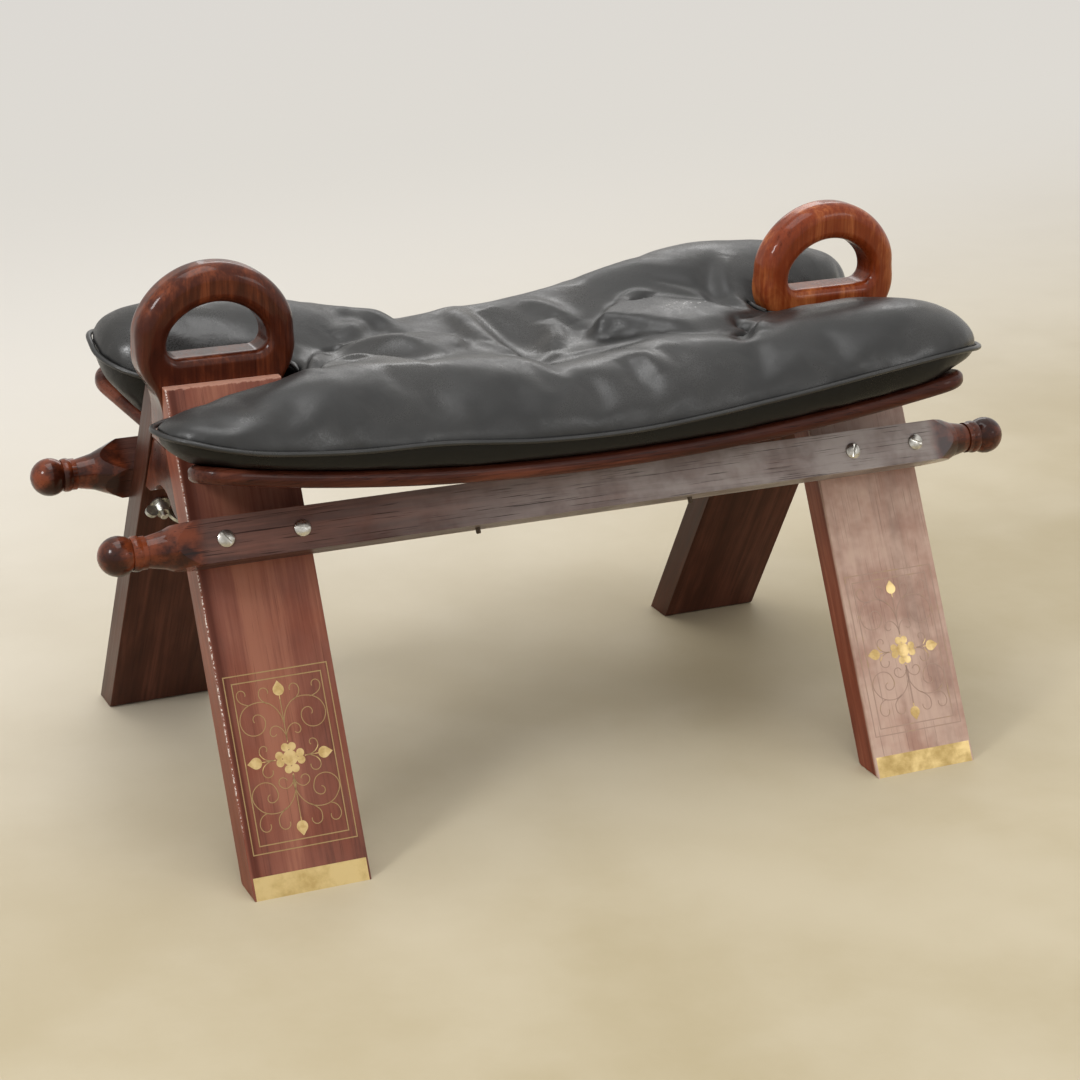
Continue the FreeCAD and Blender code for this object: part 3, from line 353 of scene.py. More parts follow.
@dataclass(frozen=True)
class Wood:
    """Red-brown rosewood under an old polish."""

    name: str
    grain: Grain
    dark: Colour
    middle: Colour
    light: Colour
    roughness: float
    coat: float
    coat_roughness: float
    pores: float
    figure: float = 1.0                       # how fine the figure is
    drawn: float = 0.07                       # how little it varies along the grain
    painted_sheen: tuple[float, float] = (0.0, 0.0)   # painted sheen: strength of a pale film that paints the bright surroundings' reflection into the colour, at the left end and at the right; on the front right leg partly a dull bloom on the polish
    # colour of the painted sheen's pale film
    sheen_film: Colour = (0.300, 0.215, 0.190)
    knobs: float = 0.0                        # x beyond which the wood is turned, red and glossy, in metres
    arris: float = 0.0                        # x of a chipped edge, in metres
    worn_top: float = 0.0                     # z from which the top edge is rubbed pale, in metres
    shift: Triple = (0.0, 0.0, 0.0)           # moves the figure, so that no two pieces match, in metres

    def turn(self) -> Triple:
        """The turn that brings the fibres to the Z axis."""
        return {Grain.ALONG: (0.0, -math.pi / 2, 0.0), Grain.FRONT_LEG: (SPLAY, 0.0, 0.0),
                Grain.REAR_LEG: (-SPLAY, 0.0, 0.0), Grain.UPRIGHT: (0.0, 0.0, 0.0)}[self.grain]

    @staticmethod
    def under(s: Shader) -> Socket:
        """Depth below a front leg's outer face: its foot times the splay's cosine, less the reach outwards."""
        _, y, z = s.split(s.here())
        return s.maths("SUBTRACT", LEG_FOOT * MM * math.cos(SPLAY),
                       s.total((z, math.sin(SPLAY)), (y, -math.cos(SPLAY))))

    def shader(self) -> bpy.types.Material:
        """Streaks, fibres and pores drawn out along the grain, in colour, gloss and relief."""
        s = Shader(self.name)
        spot = s.place(self.turn(), self.shift)
        broad = s.noise(s.stretch(spot, 1.0, 1.0, self.drawn), 34.0 * self.figure, 5.0, 0.62, 0.6)
        fibre = s.noise(s.stretch(spot, 1.0, 1.0, 0.03), 420.0, 4.0, 0.6)
        cloud = s.noise(spot, 7.0, 3.0, 0.5)
        mottle = s.noise(s.stretch(spot, 1.0, 1.0, 0.45), 55.0, 4.0, 0.6)
        tone = s.total((broad, 0.62), (fibre, 0.20), (cloud, 0.14), (mottle, 0.14))
        colour = s.blend(s.between(tone, 0.38, 0.54), self.dark, self.middle)
        colour = s.blend(s.between(tone, 0.52, 0.68), colour, self.light)
        coat, coat_rough = self.coat, self.coat_roughness
        # Painted sheen: a pale film that stands for the reflection of the bright surroundings.
        if any(self.painted_sheen):
            colour = s.blend(self.sheen_share(s, spot, broad), colour, self.sheen_film)
        if self.knobs:
            x = s.split(s.here())[0]
            ends = s.between(s.maths("ABSOLUTE", x), self.knobs - 0.012, self.knobs)
            turned = s.blend(s.between(s.noise(spot, 38.0, 4.0, 0.6), 0.40, 0.66), (0.030, 0.0055, 0.0018),
                             (0.185, 0.040, 0.013))
            colour = s.blend(ends, colour, turned)
            coat, coat_rough = s.times(ends, 0.9), 0.07
        streak = s.between(s.noise(s.stretch(spot, 1.0, 1.0, 0.014), 190.0, 5.0, 0.7), 0.50, 0.72)
        colour = s.blend(s.times(streak, 0.42 * self.pores), colour, tuple(1.2 * c for c in self.dark))
        open_pore = s.between(s.noise(s.stretch(spot, 1.0, 1.0, 0.020), 1100.0, 2.0, 0.5), 0.60, 0.70)
        colour = s.blend(s.times(open_pore, self.pores), colour, tuple(0.35 * c for c in self.dark))
        colour = self.aged(s, spot, colour)
        rough = s.maths("ADD", s.between(fibre, 0.3, 0.7, self.roughness - 0.05, self.roughness + 0.07),
                        s.between(cloud, 0.45, 0.75, 0.0, 0.10))
        relief = s.bump(s.maths("SUBTRACT", s.times(fibre, 0.35), open_pore), 0.22 * self.pores, 0.0004)
        s.set(Base_Color=colour, Roughness=rough, Normal=relief, Coat_Weight=coat, Coat_Roughness=coat_rough,
              Coat_IOR=1.32, IOR=1.18, Specular_IOR_Level=0.6)
        return s.material

    def sheen_share(self, s: Shader, spot: Socket, broad: Socket) -> Socket:
        """How much of the painted sheen's pale film lies on the wood: cloudy, from one end to the other, on the
        outer face only.
        """
        sheen_film = s.between(s.total((s.noise(spot, 22.0, 4.0, 0.6), 1.0), (broad, 0.5)), 0.55, 0.88, 0.50, 1.0)
        sheen_film = s.times(sheen_film, s.between(s.split(s.here())[0], -0.24, 0.10, *self.painted_sheen))
        if self.grain is Grain.FRONT_LEG:
            sheen_film = s.times(sheen_film, s.between(self.under(s), 0.001, 0.004, 1.0, 0.0))
        return sheen_film

    def aged(self, s: Shader, spot: Socket, colour: Socket) -> Socket:
        """The colour with a dark, chipped arris and a rubbed top edge, where the wood has them."""
        x, _, z = s.split(s.here())
        if self.arris:
            inside, under = s.maths("SUBTRACT", x, self.arris), self.under(s)
            shade = s.times(s.between(inside, 0.0008, 0.003), s.between(inside, 0.005, 0.010, 0.70, 0.0))
            colour = s.blend(shade, colour, self.dark)
            chips = s.times(s.between(s.noise(spot, 620.0, 3.0, 0.6), 0.50, 0.58),
                            s.between(s.maths("MAXIMUM", inside, under), 0.0005, 0.0012, 1.0, 0.0))
            colour = s.blend(s.times(chips, s.between(z, 0.035, 0.06)), colour, (0.80, 0.72, 0.66))
        if self.worn_top:
            edge = s.total((z, 1.0), (s.noise(spot, 260.0, 3.0, 0.6), 0.004))
            colour = s.blend(s.between(edge, self.worn_top, self.worn_top + 0.0012, 0.0, 0.75), colour,
                             (0.55, 0.30, 0.22))
        return colour


@dataclass(frozen=True)
class Metal:
    """Plated or sheet metal, dulled and scuffed."""

    name: str
    bright: Colour
    dull: Colour
    roughness: float
    scale: float
    wire: Colour | None = None      # the colour of an inlay's wires
    lost: bool = False              # whether its wires are all but rubbed away

    @staticmethod
    def leaves(s: Shader) -> Socket:
        """1 inside an inlay's flower and leaves: where the distance from one of their middles is small."""
        folded = s.vectors("ABSOLUTE", s.here())      # all four legs at once
        inside = 0.0
        for u, v, wide in ((0, 0, 12.5), (0, 48.6, 7.6), (0, -48.6, 7.6), (25.4, 0, 7.6), (-25.4, 0, 7.6)):
            up = FLOWER_UP + v
            middle = np.array((LEG_X + u, LEG_FOOT - up * math.sin(SPLAY), up * math.cos(SPLAY))) * MM
            gap = s.vectors("DISTANCE", folded, tuple(middle))
            inside = s.maths("MAXIMUM", inside, s.between(gap, (wide - 1.0) * MM, wide * MM, 1.0, 0.0))
        return inside

    def shader(self) -> bpy.types.Material:
        """Cloudy tarnish with fine scratches; where wires are lost, only the pale wood is seen, in a pinkish tan
        that copies the front right leg's painted sheen.
        """
        s = Shader(self.name)
        spot = s.place()
        cloud = s.noise(spot, self.scale, 5.0, 0.65)
        scratch = s.noise(s.stretch(spot, 0.08, 1.0, 1.0), 1400.0, 2.0, 0.6)
        colour = s.blend(s.between(cloud, 0.38, 0.66), self.bright, self.dull)
        rough = s.between(s.total((cloud, 1.0), (scratch, 0.3)), 0.45, 0.9,
                          self.roughness - 0.08, self.roughness + 0.2)
        metal = 1.0
        if self.wire:
            leaf = self.leaves(s)
            colour = s.blend(leaf, self.wire, colour)
            if self.lost:
                metal = s.maths("MAXIMUM", leaf, s.between(cloud, 0.50, 0.66, 0.0, 0.55))
                # Where the brass is gone: the pale pinkish tan of the leg's wood under its painted sheen.
                colour = s.blend(metal, (0.36, 0.235, 0.180), colour)
        s.set(Base_Color=colour, Metallic=metal, Roughness=rough, Normal=s.bump(scratch, 0.12, 0.0001))
        return s.material


@dataclass(frozen=True)
class Leather:
    """Black upholstery leather with a soft sheen."""

    name: str
    colour: Colour = (0.0075, 0.0075, 0.0073)
    worn: Colour = (0.024, 0.0235, 0.0225)
    roughness: float = 0.29
    wander: float = 0.004           # how far noise moves the coordinates, half of it being the mean, in metres
    specks: tuple = ((133, -1), (130, 1), (128, 0), (126, -2), (122, 3), (119, 1), (114, -1), (111, -2), (138, -4),
                     (140, -3), (146, 0), (108, 30), (131, -12))

    def shader(self) -> bpy.types.Material:
        """Pebbled grain, shallow creases and patches rubbed smooth, with painted shade on the band under the seam
        and a few pale specks.

        The band is read from the mesh, and the specks are small discs round points of the plan, in
        millimetres.
        """
        s = Shader(self.name)
        spot = s.place()
        wander = s.vectors("ADD", spot, s.stretch(
            s.node("TexNoise", Vector=spot, Scale=70.0, Detail=2.0).outputs["Color"], *[self.wander] * 3))
        cells = s.node("TexVoronoi", {"feature": "SMOOTH_F1"}, Vector=wander, Scale=820.0,
                       Smoothness=0.35).outputs["Distance"]
        crease = s.noise(spot, 46.0, 6.0, 0.62, 0.8)
        tone = s.between(s.total((s.noise(spot, 11.0, 3.0, 0.5), 0.7), (crease, 0.3)), 0.42, 0.66)
        rough = s.maths("ADD", s.between(tone, 0.0, 1.0, self.roughness + 0.07, self.roughness - 0.08),
                        s.between(cells, 0.2, 0.7, 0.0, 0.10))
        relief = s.bump(s.total((cells, 1.0), (s.noise(spot, 1500.0, 2.0, 0.5), 0.3)), 0.06, 0.0004)
        relief = s.bump(crease, 0.10, 0.003, relief)
        colour = s.blend(tone, self.colour, self.worn)
        plan = s.stretch(wander, 1.0, 1.0, 0.0)
        for x, y in self.specks:
            gap = s.vectors("DISTANCE", plan, (x * MM + self.wander / 2, y * MM + self.wander / 2, 0.0))
            colour = s.blend(s.between(gap, 0.0005, 0.0010, 0.8, 0.0), colour, (0.42, 0.41, 0.40))
        band = s.node("Attribute", {"attribute_name": "band"}).outputs["Fac"]
        # Painted shade: the upright band under the seam is painted darker, down to 0.45 of the leather's colour.
        colour = s.blend(band, colour, tuple(0.45 * c for c in self.colour))
        s.set(Base_Color=colour, Roughness=rough, Normal=relief, IOR=1.36,
              Specular_IOR_Level=s.between(band, 0.0, 1.0, 1.0, 0.45))
        return s.material


# ---------------------------------------------------------------- finishes of the CAD nodes


class Finishes:
    """Every finish of the stool, made once and found by the start of a piece's name."""

    def __init__(self) -> None:
        """Make the materials."""
        satin = {"roughness": 0.34, "coat": 0.16, "coat_roughness": 0.28, "pores": 0.30}
        gloss = {"roughness": 0.30, "coat": 0.65, "coat_roughness": 0.08, "pores": 0.20, "figure": 0.8,
                 "drawn": 0.30}
        red = ((0.070, 0.015, 0.008), (0.200, 0.052, 0.028), (0.325, 0.112, 0.062))
        # deep: the rear legs' wood, the same rosewood as red painted about three times darker, as painted shade on
        # their inner faces under the seat.
        deep = ((0.020, 0.007, 0.004), (0.058, 0.019, 0.011), (0.115, 0.040, 0.025))
        flower = ((0.70, 0.52, 0.25), (0.57, 0.40, 0.17), 0.45)
        kinds = {
            "leg_front_left": Wood("wood_leg_front_left", Grain.FRONT_LEG, *red, **satin, painted_sheen=(0.16, 0.16),
                                   arris=-0.2925, worn_top=0.3195),
            # Front right leg: its pale film is painted sheen over a dull, bloomed polish.
            "leg_front_right": Wood("wood_leg_front_right", Grain.FRONT_LEG, *red, **satin, painted_sheen=(0.95, 0.95),
                                    sheen_film=(0.55, 0.390, 0.315)),
            "leg_rear_left": Wood("wood_leg_rear_left", Grain.REAR_LEG, *deep, **satin),
            "leg_rear_right": Wood("wood_leg_rear_right", Grain.REAR_LEG, *deep, **satin, shift=(0.2, 0, 0.4)),
            # Rail: its pale film, growing to the right, is a painted reflection of the bright surroundings.
            "rail": Wood("wood_rail", Grain.ALONG, (0.020, 0.006, 0.004), (0.068, 0.020, 0.012),
                         (0.150, 0.052, 0.033), roughness=0.36, coat=0.22, coat_roughness=0.22, pores=0.75,
                         figure=1.3, painted_sheen=(0.12, 1.00), sheen_film=(0.385, 0.340, 0.330), knobs=0.300),
            ("apron", "seat_board"): Wood(
                "wood_board", Grain.ALONG, (0.017, 0.004, 0.0025), (0.058, 0.014, 0.0075), (0.165, 0.048, 0.026),
                roughness=0.30, coat=0.35, coat_roughness=0.12, pores=0.7),
            "pommel_left": Wood("wood_pommel_left", Grain.UPRIGHT, (0.014, 0.0026, 0.0009),
                                (0.056, 0.0105, 0.0035), (0.185, 0.043, 0.014), **gloss),
            "pommel_right": Wood("wood_pommel_right", Grain.UPRIGHT, (0.055, 0.0085, 0.002),
                                 (0.190, 0.031, 0.0065), (0.440, 0.135, 0.040), **gloss, shift=(0.3, 0.1, 0.2)),
            "foot_strip": Metal("brass_sheet", (0.68, 0.51, 0.235), (0.53, 0.38, 0.155), 0.42, 45.0),
            "inlay_front_right": Metal("brass_inlay_worn", *flower, 70.0, (0.50, 0.36, 0.19), lost=True),
            "inlay": Metal("brass_inlay", *flower, 140.0, (0.40, 0.27, 0.13)),
            "wing_nut": Metal("plated_nut", (0.66, 0.66, 0.60), (0.42, 0.42, 0.37), 0.42, 160.0),
            "board_screws": Metal("dark_steel", (0.10, 0.075, 0.055), (0.05, 0.038, 0.030), 0.50, 160.0),
            "cushion": Leather("leather"),
            "": Metal("nickel", (0.68, 0.66, 0.61), (0.43, 0.41, 0.37), 0.28, 160.0),         # the rest
        }
        self.table = {starts: kind.shader() for starts, kind in kinds.items()}

    def of_node(self, node: str) -> bpy.types.Material:
        """The finish of a piece: the first in the table that names how the piece's name starts."""
        return next(finish for starts, finish in self.table.items() if node.startswith(starts))

    def dress(self, nodes: dict[str, Piece]) -> None:
        """Give every CAD node its finish."""
        for name, node in nodes.items():
            node.data.materials.clear()
            node.data.materials.append(self.of_node(name))


# ---------------------------------------------------------------- camera, lights and floor


@dataclass
class Studio:
    """Camera, soft lights and a pale floor that curves up behind."""

    eye: Triple = (-801.5, -1739.6, 871.2)
    yaw: float = 24.97              # to the right of +Y, in degrees
    pitch: float = 20.43            # down from the level
    roll: float = 0.84              # about the view
    focal_px: float = 2651.9        # focal length, in pixels of the frame
    frame_px: float = 1080.0
    sensor: float = 36.0
    lamps: tuple = (                # name, place, aim and size in metres, and power in watts
        ("overhead", (-0.25, -0.05, 2.35), (0.0, 0.0, 0.3), (1.7, 1.1), 18.0),
        ("key", (-2.2, -0.7, 1.9), (0.0, 0.0, 0.25), (0.55, 0.55), 22.0),
        ("front", (1.9, -2.4, 1.6), (0.1, 0.0, 0.2), (1.1, 0.8), 8.0),
        ("window", (1.1, 2.3, 1.6), (0.0, 0.0, 0.3), (1.8, 0.7), 9.0),
    )

    def camera(self) -> Piece:
        """Aim the camera: yaw to the right of +Y, pitch down and roll about the view."""
        yaw, pitch, roll = (math.radians(a) for a in (self.yaw, self.pitch, self.roll))
        ahead = Vector((math.sin(yaw) * math.cos(pitch), math.cos(yaw) * math.cos(pitch), -math.sin(pitch)))
        right = ahead.cross(Vector((0, 0, 1))).normalized()
        up = right.cross(ahead)
        right, up = (right * math.cos(roll) + up * math.sin(roll), up * math.cos(roll) - right * math.sin(roll))
        data = bpy.data.cameras.new("camera")
        data.sensor_width, data.lens = self.sensor, self.focal_px / self.frame_px * self.sensor
        data.clip_end = 50.0
        made = link(bpy.data.objects.new("camera", data))
        made.matrix_world = Matrix.Translation(Vector(self.eye) * MM) @ Matrix(
            (right, up, -ahead)).transposed().to_4x4()
        bpy.context.scene.camera = made
        return made

    def lights(self) -> None:
        """The lamps, each a soft rectangle, and a pale surround.

        The surround is brightest overhead and falls off towards the level, with a smooth step of
        the direction's height.
        """
        for name, spot, aim, size, power in self.lamps:
            data = bpy.data.lights.new(name, "AREA")
            data.shape, data.size, data.size_y, data.energy = "RECTANGLE", *size, power
            made = link(bpy.data.objects.new(name, data))
            away = Vector(spot) - Vector(aim)
            made.matrix_world = Matrix.Translation(spot) @ away.to_track_quat("Z", "Y").to_matrix().to_4x4()
        world = bpy.data.worlds.new("world")
        world.use_nodes = True
        tree = world.node_tree
        parts = tree.nodes.new("ShaderNodeSeparateXYZ")
        step = tree.nodes.new("ShaderNodeMapRange")
        step.interpolation_type = "SMOOTHSTEP"
        for key, given in (("From Min", -0.1), ("From Max", 0.9), ("To Min", 0.80), ("To Max", 1.02)):
            step.inputs[key].default_value = given
        back = tree.nodes["Background"].inputs
        back["Color"].default_value = (0.88, 0.87, 0.85, 1)
        tree.links.new(tree.nodes.new("ShaderNodeTexCoord").outputs["Generated"], parts.inputs[0])
        tree.links.new(parts.outputs[2], step.inputs[0])
        tree.links.new(step.outputs[0], back["Strength"])
        bpy.context.scene.world = world

    def floor(self) -> Piece:
        """A level floor that rises in one smooth curve behind: a profile in Y and Z, drawn out along X.

        Far behind the stool it glows by itself, so that it stays pale where the lamps don't reach.
        """
        near_edge, bend_from, radius, top, half_width = -4000.0, 3600.0, 1500.0, 6000.0, 7000.0
        bend = np.linspace(0, math.pi / 2, 24)
        ahead = np.concatenate([[near_edge], bend_from + radius * np.sin(bend), [bend_from + radius]])
        rise = np.concatenate([[0.0], radius * (1 - np.cos(bend)), [top]])
        across = np.array([-half_width, half_width])
        points = np.stack(np.broadcast_arrays(across[:, None], ahead[None], rise[None]), axis=-1)
        made = make_object("floor", points.reshape(-1, 3), grid_faces(2, len(ahead)))
        s = Shader("floor")
        spot = s.place()
        x, y, _ = s.split(spot)
        share = s.total((s.noise(spot, 1.7, 4.0, 0.55), 0.7), (s.noise(spot, 6.0, 5.0, 0.6), 0.3))
        near = s.blend(s.between(share, 0.36, 0.64), (0.440, 0.366, 0.226), (0.545, 0.474, 0.335))
        # Painted light falloff: the floor is painted darker and warmer near the camera and to the right, and paler
        # far off, over its own cloudy beige.
        colour = s.blend(s.between(s.total((y, 1.0), (x, -0.5)), -0.35, 1.5), near, (0.745, 0.71, 0.655))
        glow = s.node("Emission", Color=s.blend(s.between(y, 1.2, 4.5), (0.735, 0.705, 0.650),
                                                (0.715, 0.690, 0.655)))
        light = s.node("LightPath")
        seen = s.maths("MAXIMUM", light.outputs["Is Camera Ray"],
                       s.maths("MAXIMUM", light.outputs["Is Glossy Ray"], light.outputs["Is Transmission Ray"]))
        mixed = s.node("MixShader", Fac=s.times(seen, s.between(y, 0.45, 2.2)))
        s.put(mixed.inputs[1], s.surface.outputs[0])
        s.put(mixed.inputs[2], glow.outputs[0])
        s.put(s.output.inputs[0], mixed.outputs[0])
        s.set(Base_Color=colour, Roughness=0.62, Specular_IOR_Level=0.3)
        made.data.materials.append(s.material)
        return made

    def build(self) -> None:
        """Make the whole studio."""
        self.camera()
        self.lights()
        self.floor()
        LOG.info("studio made")


# ---------------------------------------------------------------- brass scrolls


@dataclass
class ScrollWork:
    """Fine brass wire scrolls about the flower on each leg, in the plane of the leg's outer face.

    In that plane u runs along the stool and v up the slope, both from the flower's middle.
    """

    wire: float = 0.62              # width of a wire
    proud: float = 0.16             # its height over the face
    deep: float = 0.3               # and its depth under it
    windings: tuple = (             # eye, angles in degrees and distances from the eye
        ((18.8, 29.0), (-168, -192, -229, -272, -322, -365, -406, -452, -506, -578, -654, -745),
         (19.0, 16.8, 14.5, 12.3, 12.4, 12.5, 11.8, 9.4, 6.4, 4.6, 3.9, 2.4)),
        ((11.1, 47.5), (-105, -79, -39, 13, 111, 196), (8.2, 6.1, 4.4, 3.5, 3.5, 3.1)),
        ((27.3, 47.9), (-126, -99, -59, -6, 100, 195), (9.3, 6.4, 4.4, 3.4, 3.4, 2.8)),
        ((8.2, 19.3), (-143, -174, -211, -256, -330, -416, -490), (10.4, 7.1, 5.3, 4.3, 3.1, 3.2, 2.2)),
        ((17.5, -24.9), (153, 179, 216, 269, 328, 370, 410, 453, 500, 585, 684, 777),
         (20.6, 16.6, 13.3, 11.4, 12.7, 14.6, 13.1, 9.4, 5.4, 3.6, 3.9, 2.4)),
        ((11.6, -44.2), (107, 83, 46, 2, -107, -190), (10.9, 7.8, 5.6, 4.1, 4.0, 3.6)),
        ((25.6, -43.6), (107, 75, 37, -16, -113, -190), (8.7, 6.6, 4.8, 4.0, 4.2, 3.4)),
        ((7.9, -16.2), (150, 177, 210, 250, 308, 429, 522), (9.4, 7.4, 5.7, 4.6, 3.5, 3.4, 3.0)),
        ((18.3, 7.7), (-128, -94, -56, 9, 128, 204), (9.4, 6.2, 4.3, 3.0, 3.2, 1.9)),
        ((17.3, -7.6), (119, 90, 47, -3, -104, -197), (8.8, 6.2, 4.7, 4.0, 3.5, 3.4)),
    )

    @staticmethod
    def spiral(eye: tuple[float, float], angles: Sequence[float], reaches: Sequence[float]) -> np.ndarray:
        """A winding line about its eye, smooth through the angles and the distances given for them."""
        count = len(angles)
        order = np.linspace(0, count - 1, 16 * count)
        stops = smooth_curve(np.stack([np.arange(count), angles, reaches], 1), 0.02, closed=False)
        turn = np.radians(np.interp(order, stops[:, 0], stops[:, 1]))
        reach = np.interp(order, stops[:, 0], stops[:, 2])
        return np.stack([eye[0] + reach * np.cos(turn), eye[1] + reach * np.sin(turn)], 1)

    def lines(self) -> list[np.ndarray]:
        """Every line of one leg: the stems and the winding lines, each drawn on both sides of its stem."""
        found = [np.array([[0, 11.0], [0, 45.2]]), np.array([[0, -11.0], [0, -45.2]])]
        for side in (1, -1):
            found.append(np.array([[10.6 * side, 0], [21.9 * side, 0]]))
            found += [self.spiral(*winding) * (side, 1) for winding in self.windings]
        return found

    def leg(self, row: Row, end: End) -> Piece:
        """The scrolls of one leg, as flat wires let into its face."""
        points, faces, count = [], [], 0
        half = self.wire / 2
        section = np.array([[-half, -self.deep], [half, -self.deep], [half, self.proud], [-half, self.proud]])
        along = np.array([-row.value, 0.0, 0.0])
        slope = np.array([0.0, -row.value * math.sin(SPLAY), math.cos(SPLAY)])
        outwards = np.array([0.0, row.value * math.cos(SPLAY), math.sin(SPLAY)])
        middle = np.array([end.value * LEG_X, row.value * LEG_FOOT, 0.0]) + slope * FLOWER_UP
        for line in self.lines():
            line = smooth_curve(line, 0.6, closed=False) if len(line) > 2 else line
            path = middle + line[:, :1] * along + line[:, 1:] * slope
            up = np.broadcast_to(outwards, path.shape)
            new, quads = sweep(path, np.cross(unit(np.gradient(path, axis=0)), up), up, section)
            points.append(new)
            faces += [[k + count for k in quad] for quad in quads]
            count += len(new)
        return make_object(f"scrolls_{row.name.lower()}_{end.name.lower()}", np.vstack(points), faces, smooth=False)

    def build(self, finishes: Finishes) -> None:
        """Lay the scrolls on all four legs."""
        for row in Row:
            for end in End:
                made = self.leg(row, end)
                made.data.materials.append(finishes.of_node(f"inlay_{row.name.lower()}_{end.name.lower()}"))
                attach(made, ROOT)
        LOG.info("scrolls made")


# ---------------------------------------------------------------- the cushion


class Form(Enum):
    """The cross-section of a fold in the leather."""

    RIDGE = "a soft rounded rise"
    CREASE = "a narrow sunk line"
    LIP = "a roll that drops off behind its edge"


@dataclass(frozen=True)
class Fold:
    """A fold along a line, in millimetres, with its height and half width."""

    line: tuple[tuple[float, float], ...]
    height: float
    width: float
    form: Form = Form.RIDGE

    def rise(self, x: np.ndarray, y: np.ndarray) -> np.ndarray:
        """Height that the fold adds.

        A ridge is the height times a bell curve of the distance from the line. A crease falls off
        from the line exponentially. A lip is the height times the hyperbolic tangent of the signed
        distance, so one side rises and the other sinks. All fade towards the ends of the line,
        with the sine of how far along it the nearest point is.

        Args:
            x: (n,) coordinates along the stool.
            y: (n,) coordinates across it.

        Returns:
            (n,) heights in millimetres.
        """
        path = smooth_curve(np.array(self.line), 2.0, closed=False)
        ahead = unit(np.gradient(path, axis=0))
        away = np.stack([x, y], -1)[:, None] - path
        gap = np.linalg.norm(away, axis=-1)
        near = gap.argmin(1)
        row = np.arange(len(x))
        side = ahead[near, 0] * away[row, near, 1] - ahead[near, 1] * away[row, near, 0]
        share = near / (len(path) - 1)
        fade = np.sin(math.pi * np.clip(0.04 + 0.92 * share, 0, 1)) ** 0.6
        reach = gap[row, near] / self.width
        if self.form is Form.RIDGE:
            return self.height * fade * np.exp(-reach ** 2)
        if self.form is Form.CREASE:
            return -self.height * fade * np.exp(-1.6 * reach)
        return -self.height * fade * np.tanh(side / (0.16 * self.width)) * np.exp(-reach ** 1.5)


@dataclass(frozen=True)
class Tuft:
    """A stitch that holds the top down: a broad hollow with a slit in it, in millimetres and degrees."""

    x: float
    y: float
    depth: float                    # of the hollow; at 0 there is only the slit
    length: float                   # of the slit
    angle: float
    spread: float = 34.0            # of the hollow
    slit: float = 5.0               # depth of the slit
    gape: float = 2.2               # and its half width

    def sink(self, x: np.ndarray, y: np.ndarray, sharp: bool) -> np.ndarray:
        """Depth of the hollow: a broad bell for the body of the pad, or a narrow slit.

        Args:
            x: (n,) coordinates along the stool.
            y: (n,) coordinates across it.
            sharp: whether the slit is asked for instead of the broad hollow.

        Returns:
            (n,) depths in millimetres.
        """
        dx, dy = x - self.x, y - self.y
        if not sharp:
            return self.depth * np.exp(-(np.hypot(dx, dy) / self.spread) ** 1.3)
        turn = math.radians(self.angle)
        u, v = dx * math.cos(turn) + dy * math.sin(turn), dy * math.cos(turn) - dx * math.sin(turn)
        return self.slit * np.exp(-(u / (0.5 * self.length)) ** 4 - np.abs(v / self.gape) ** 1.5)


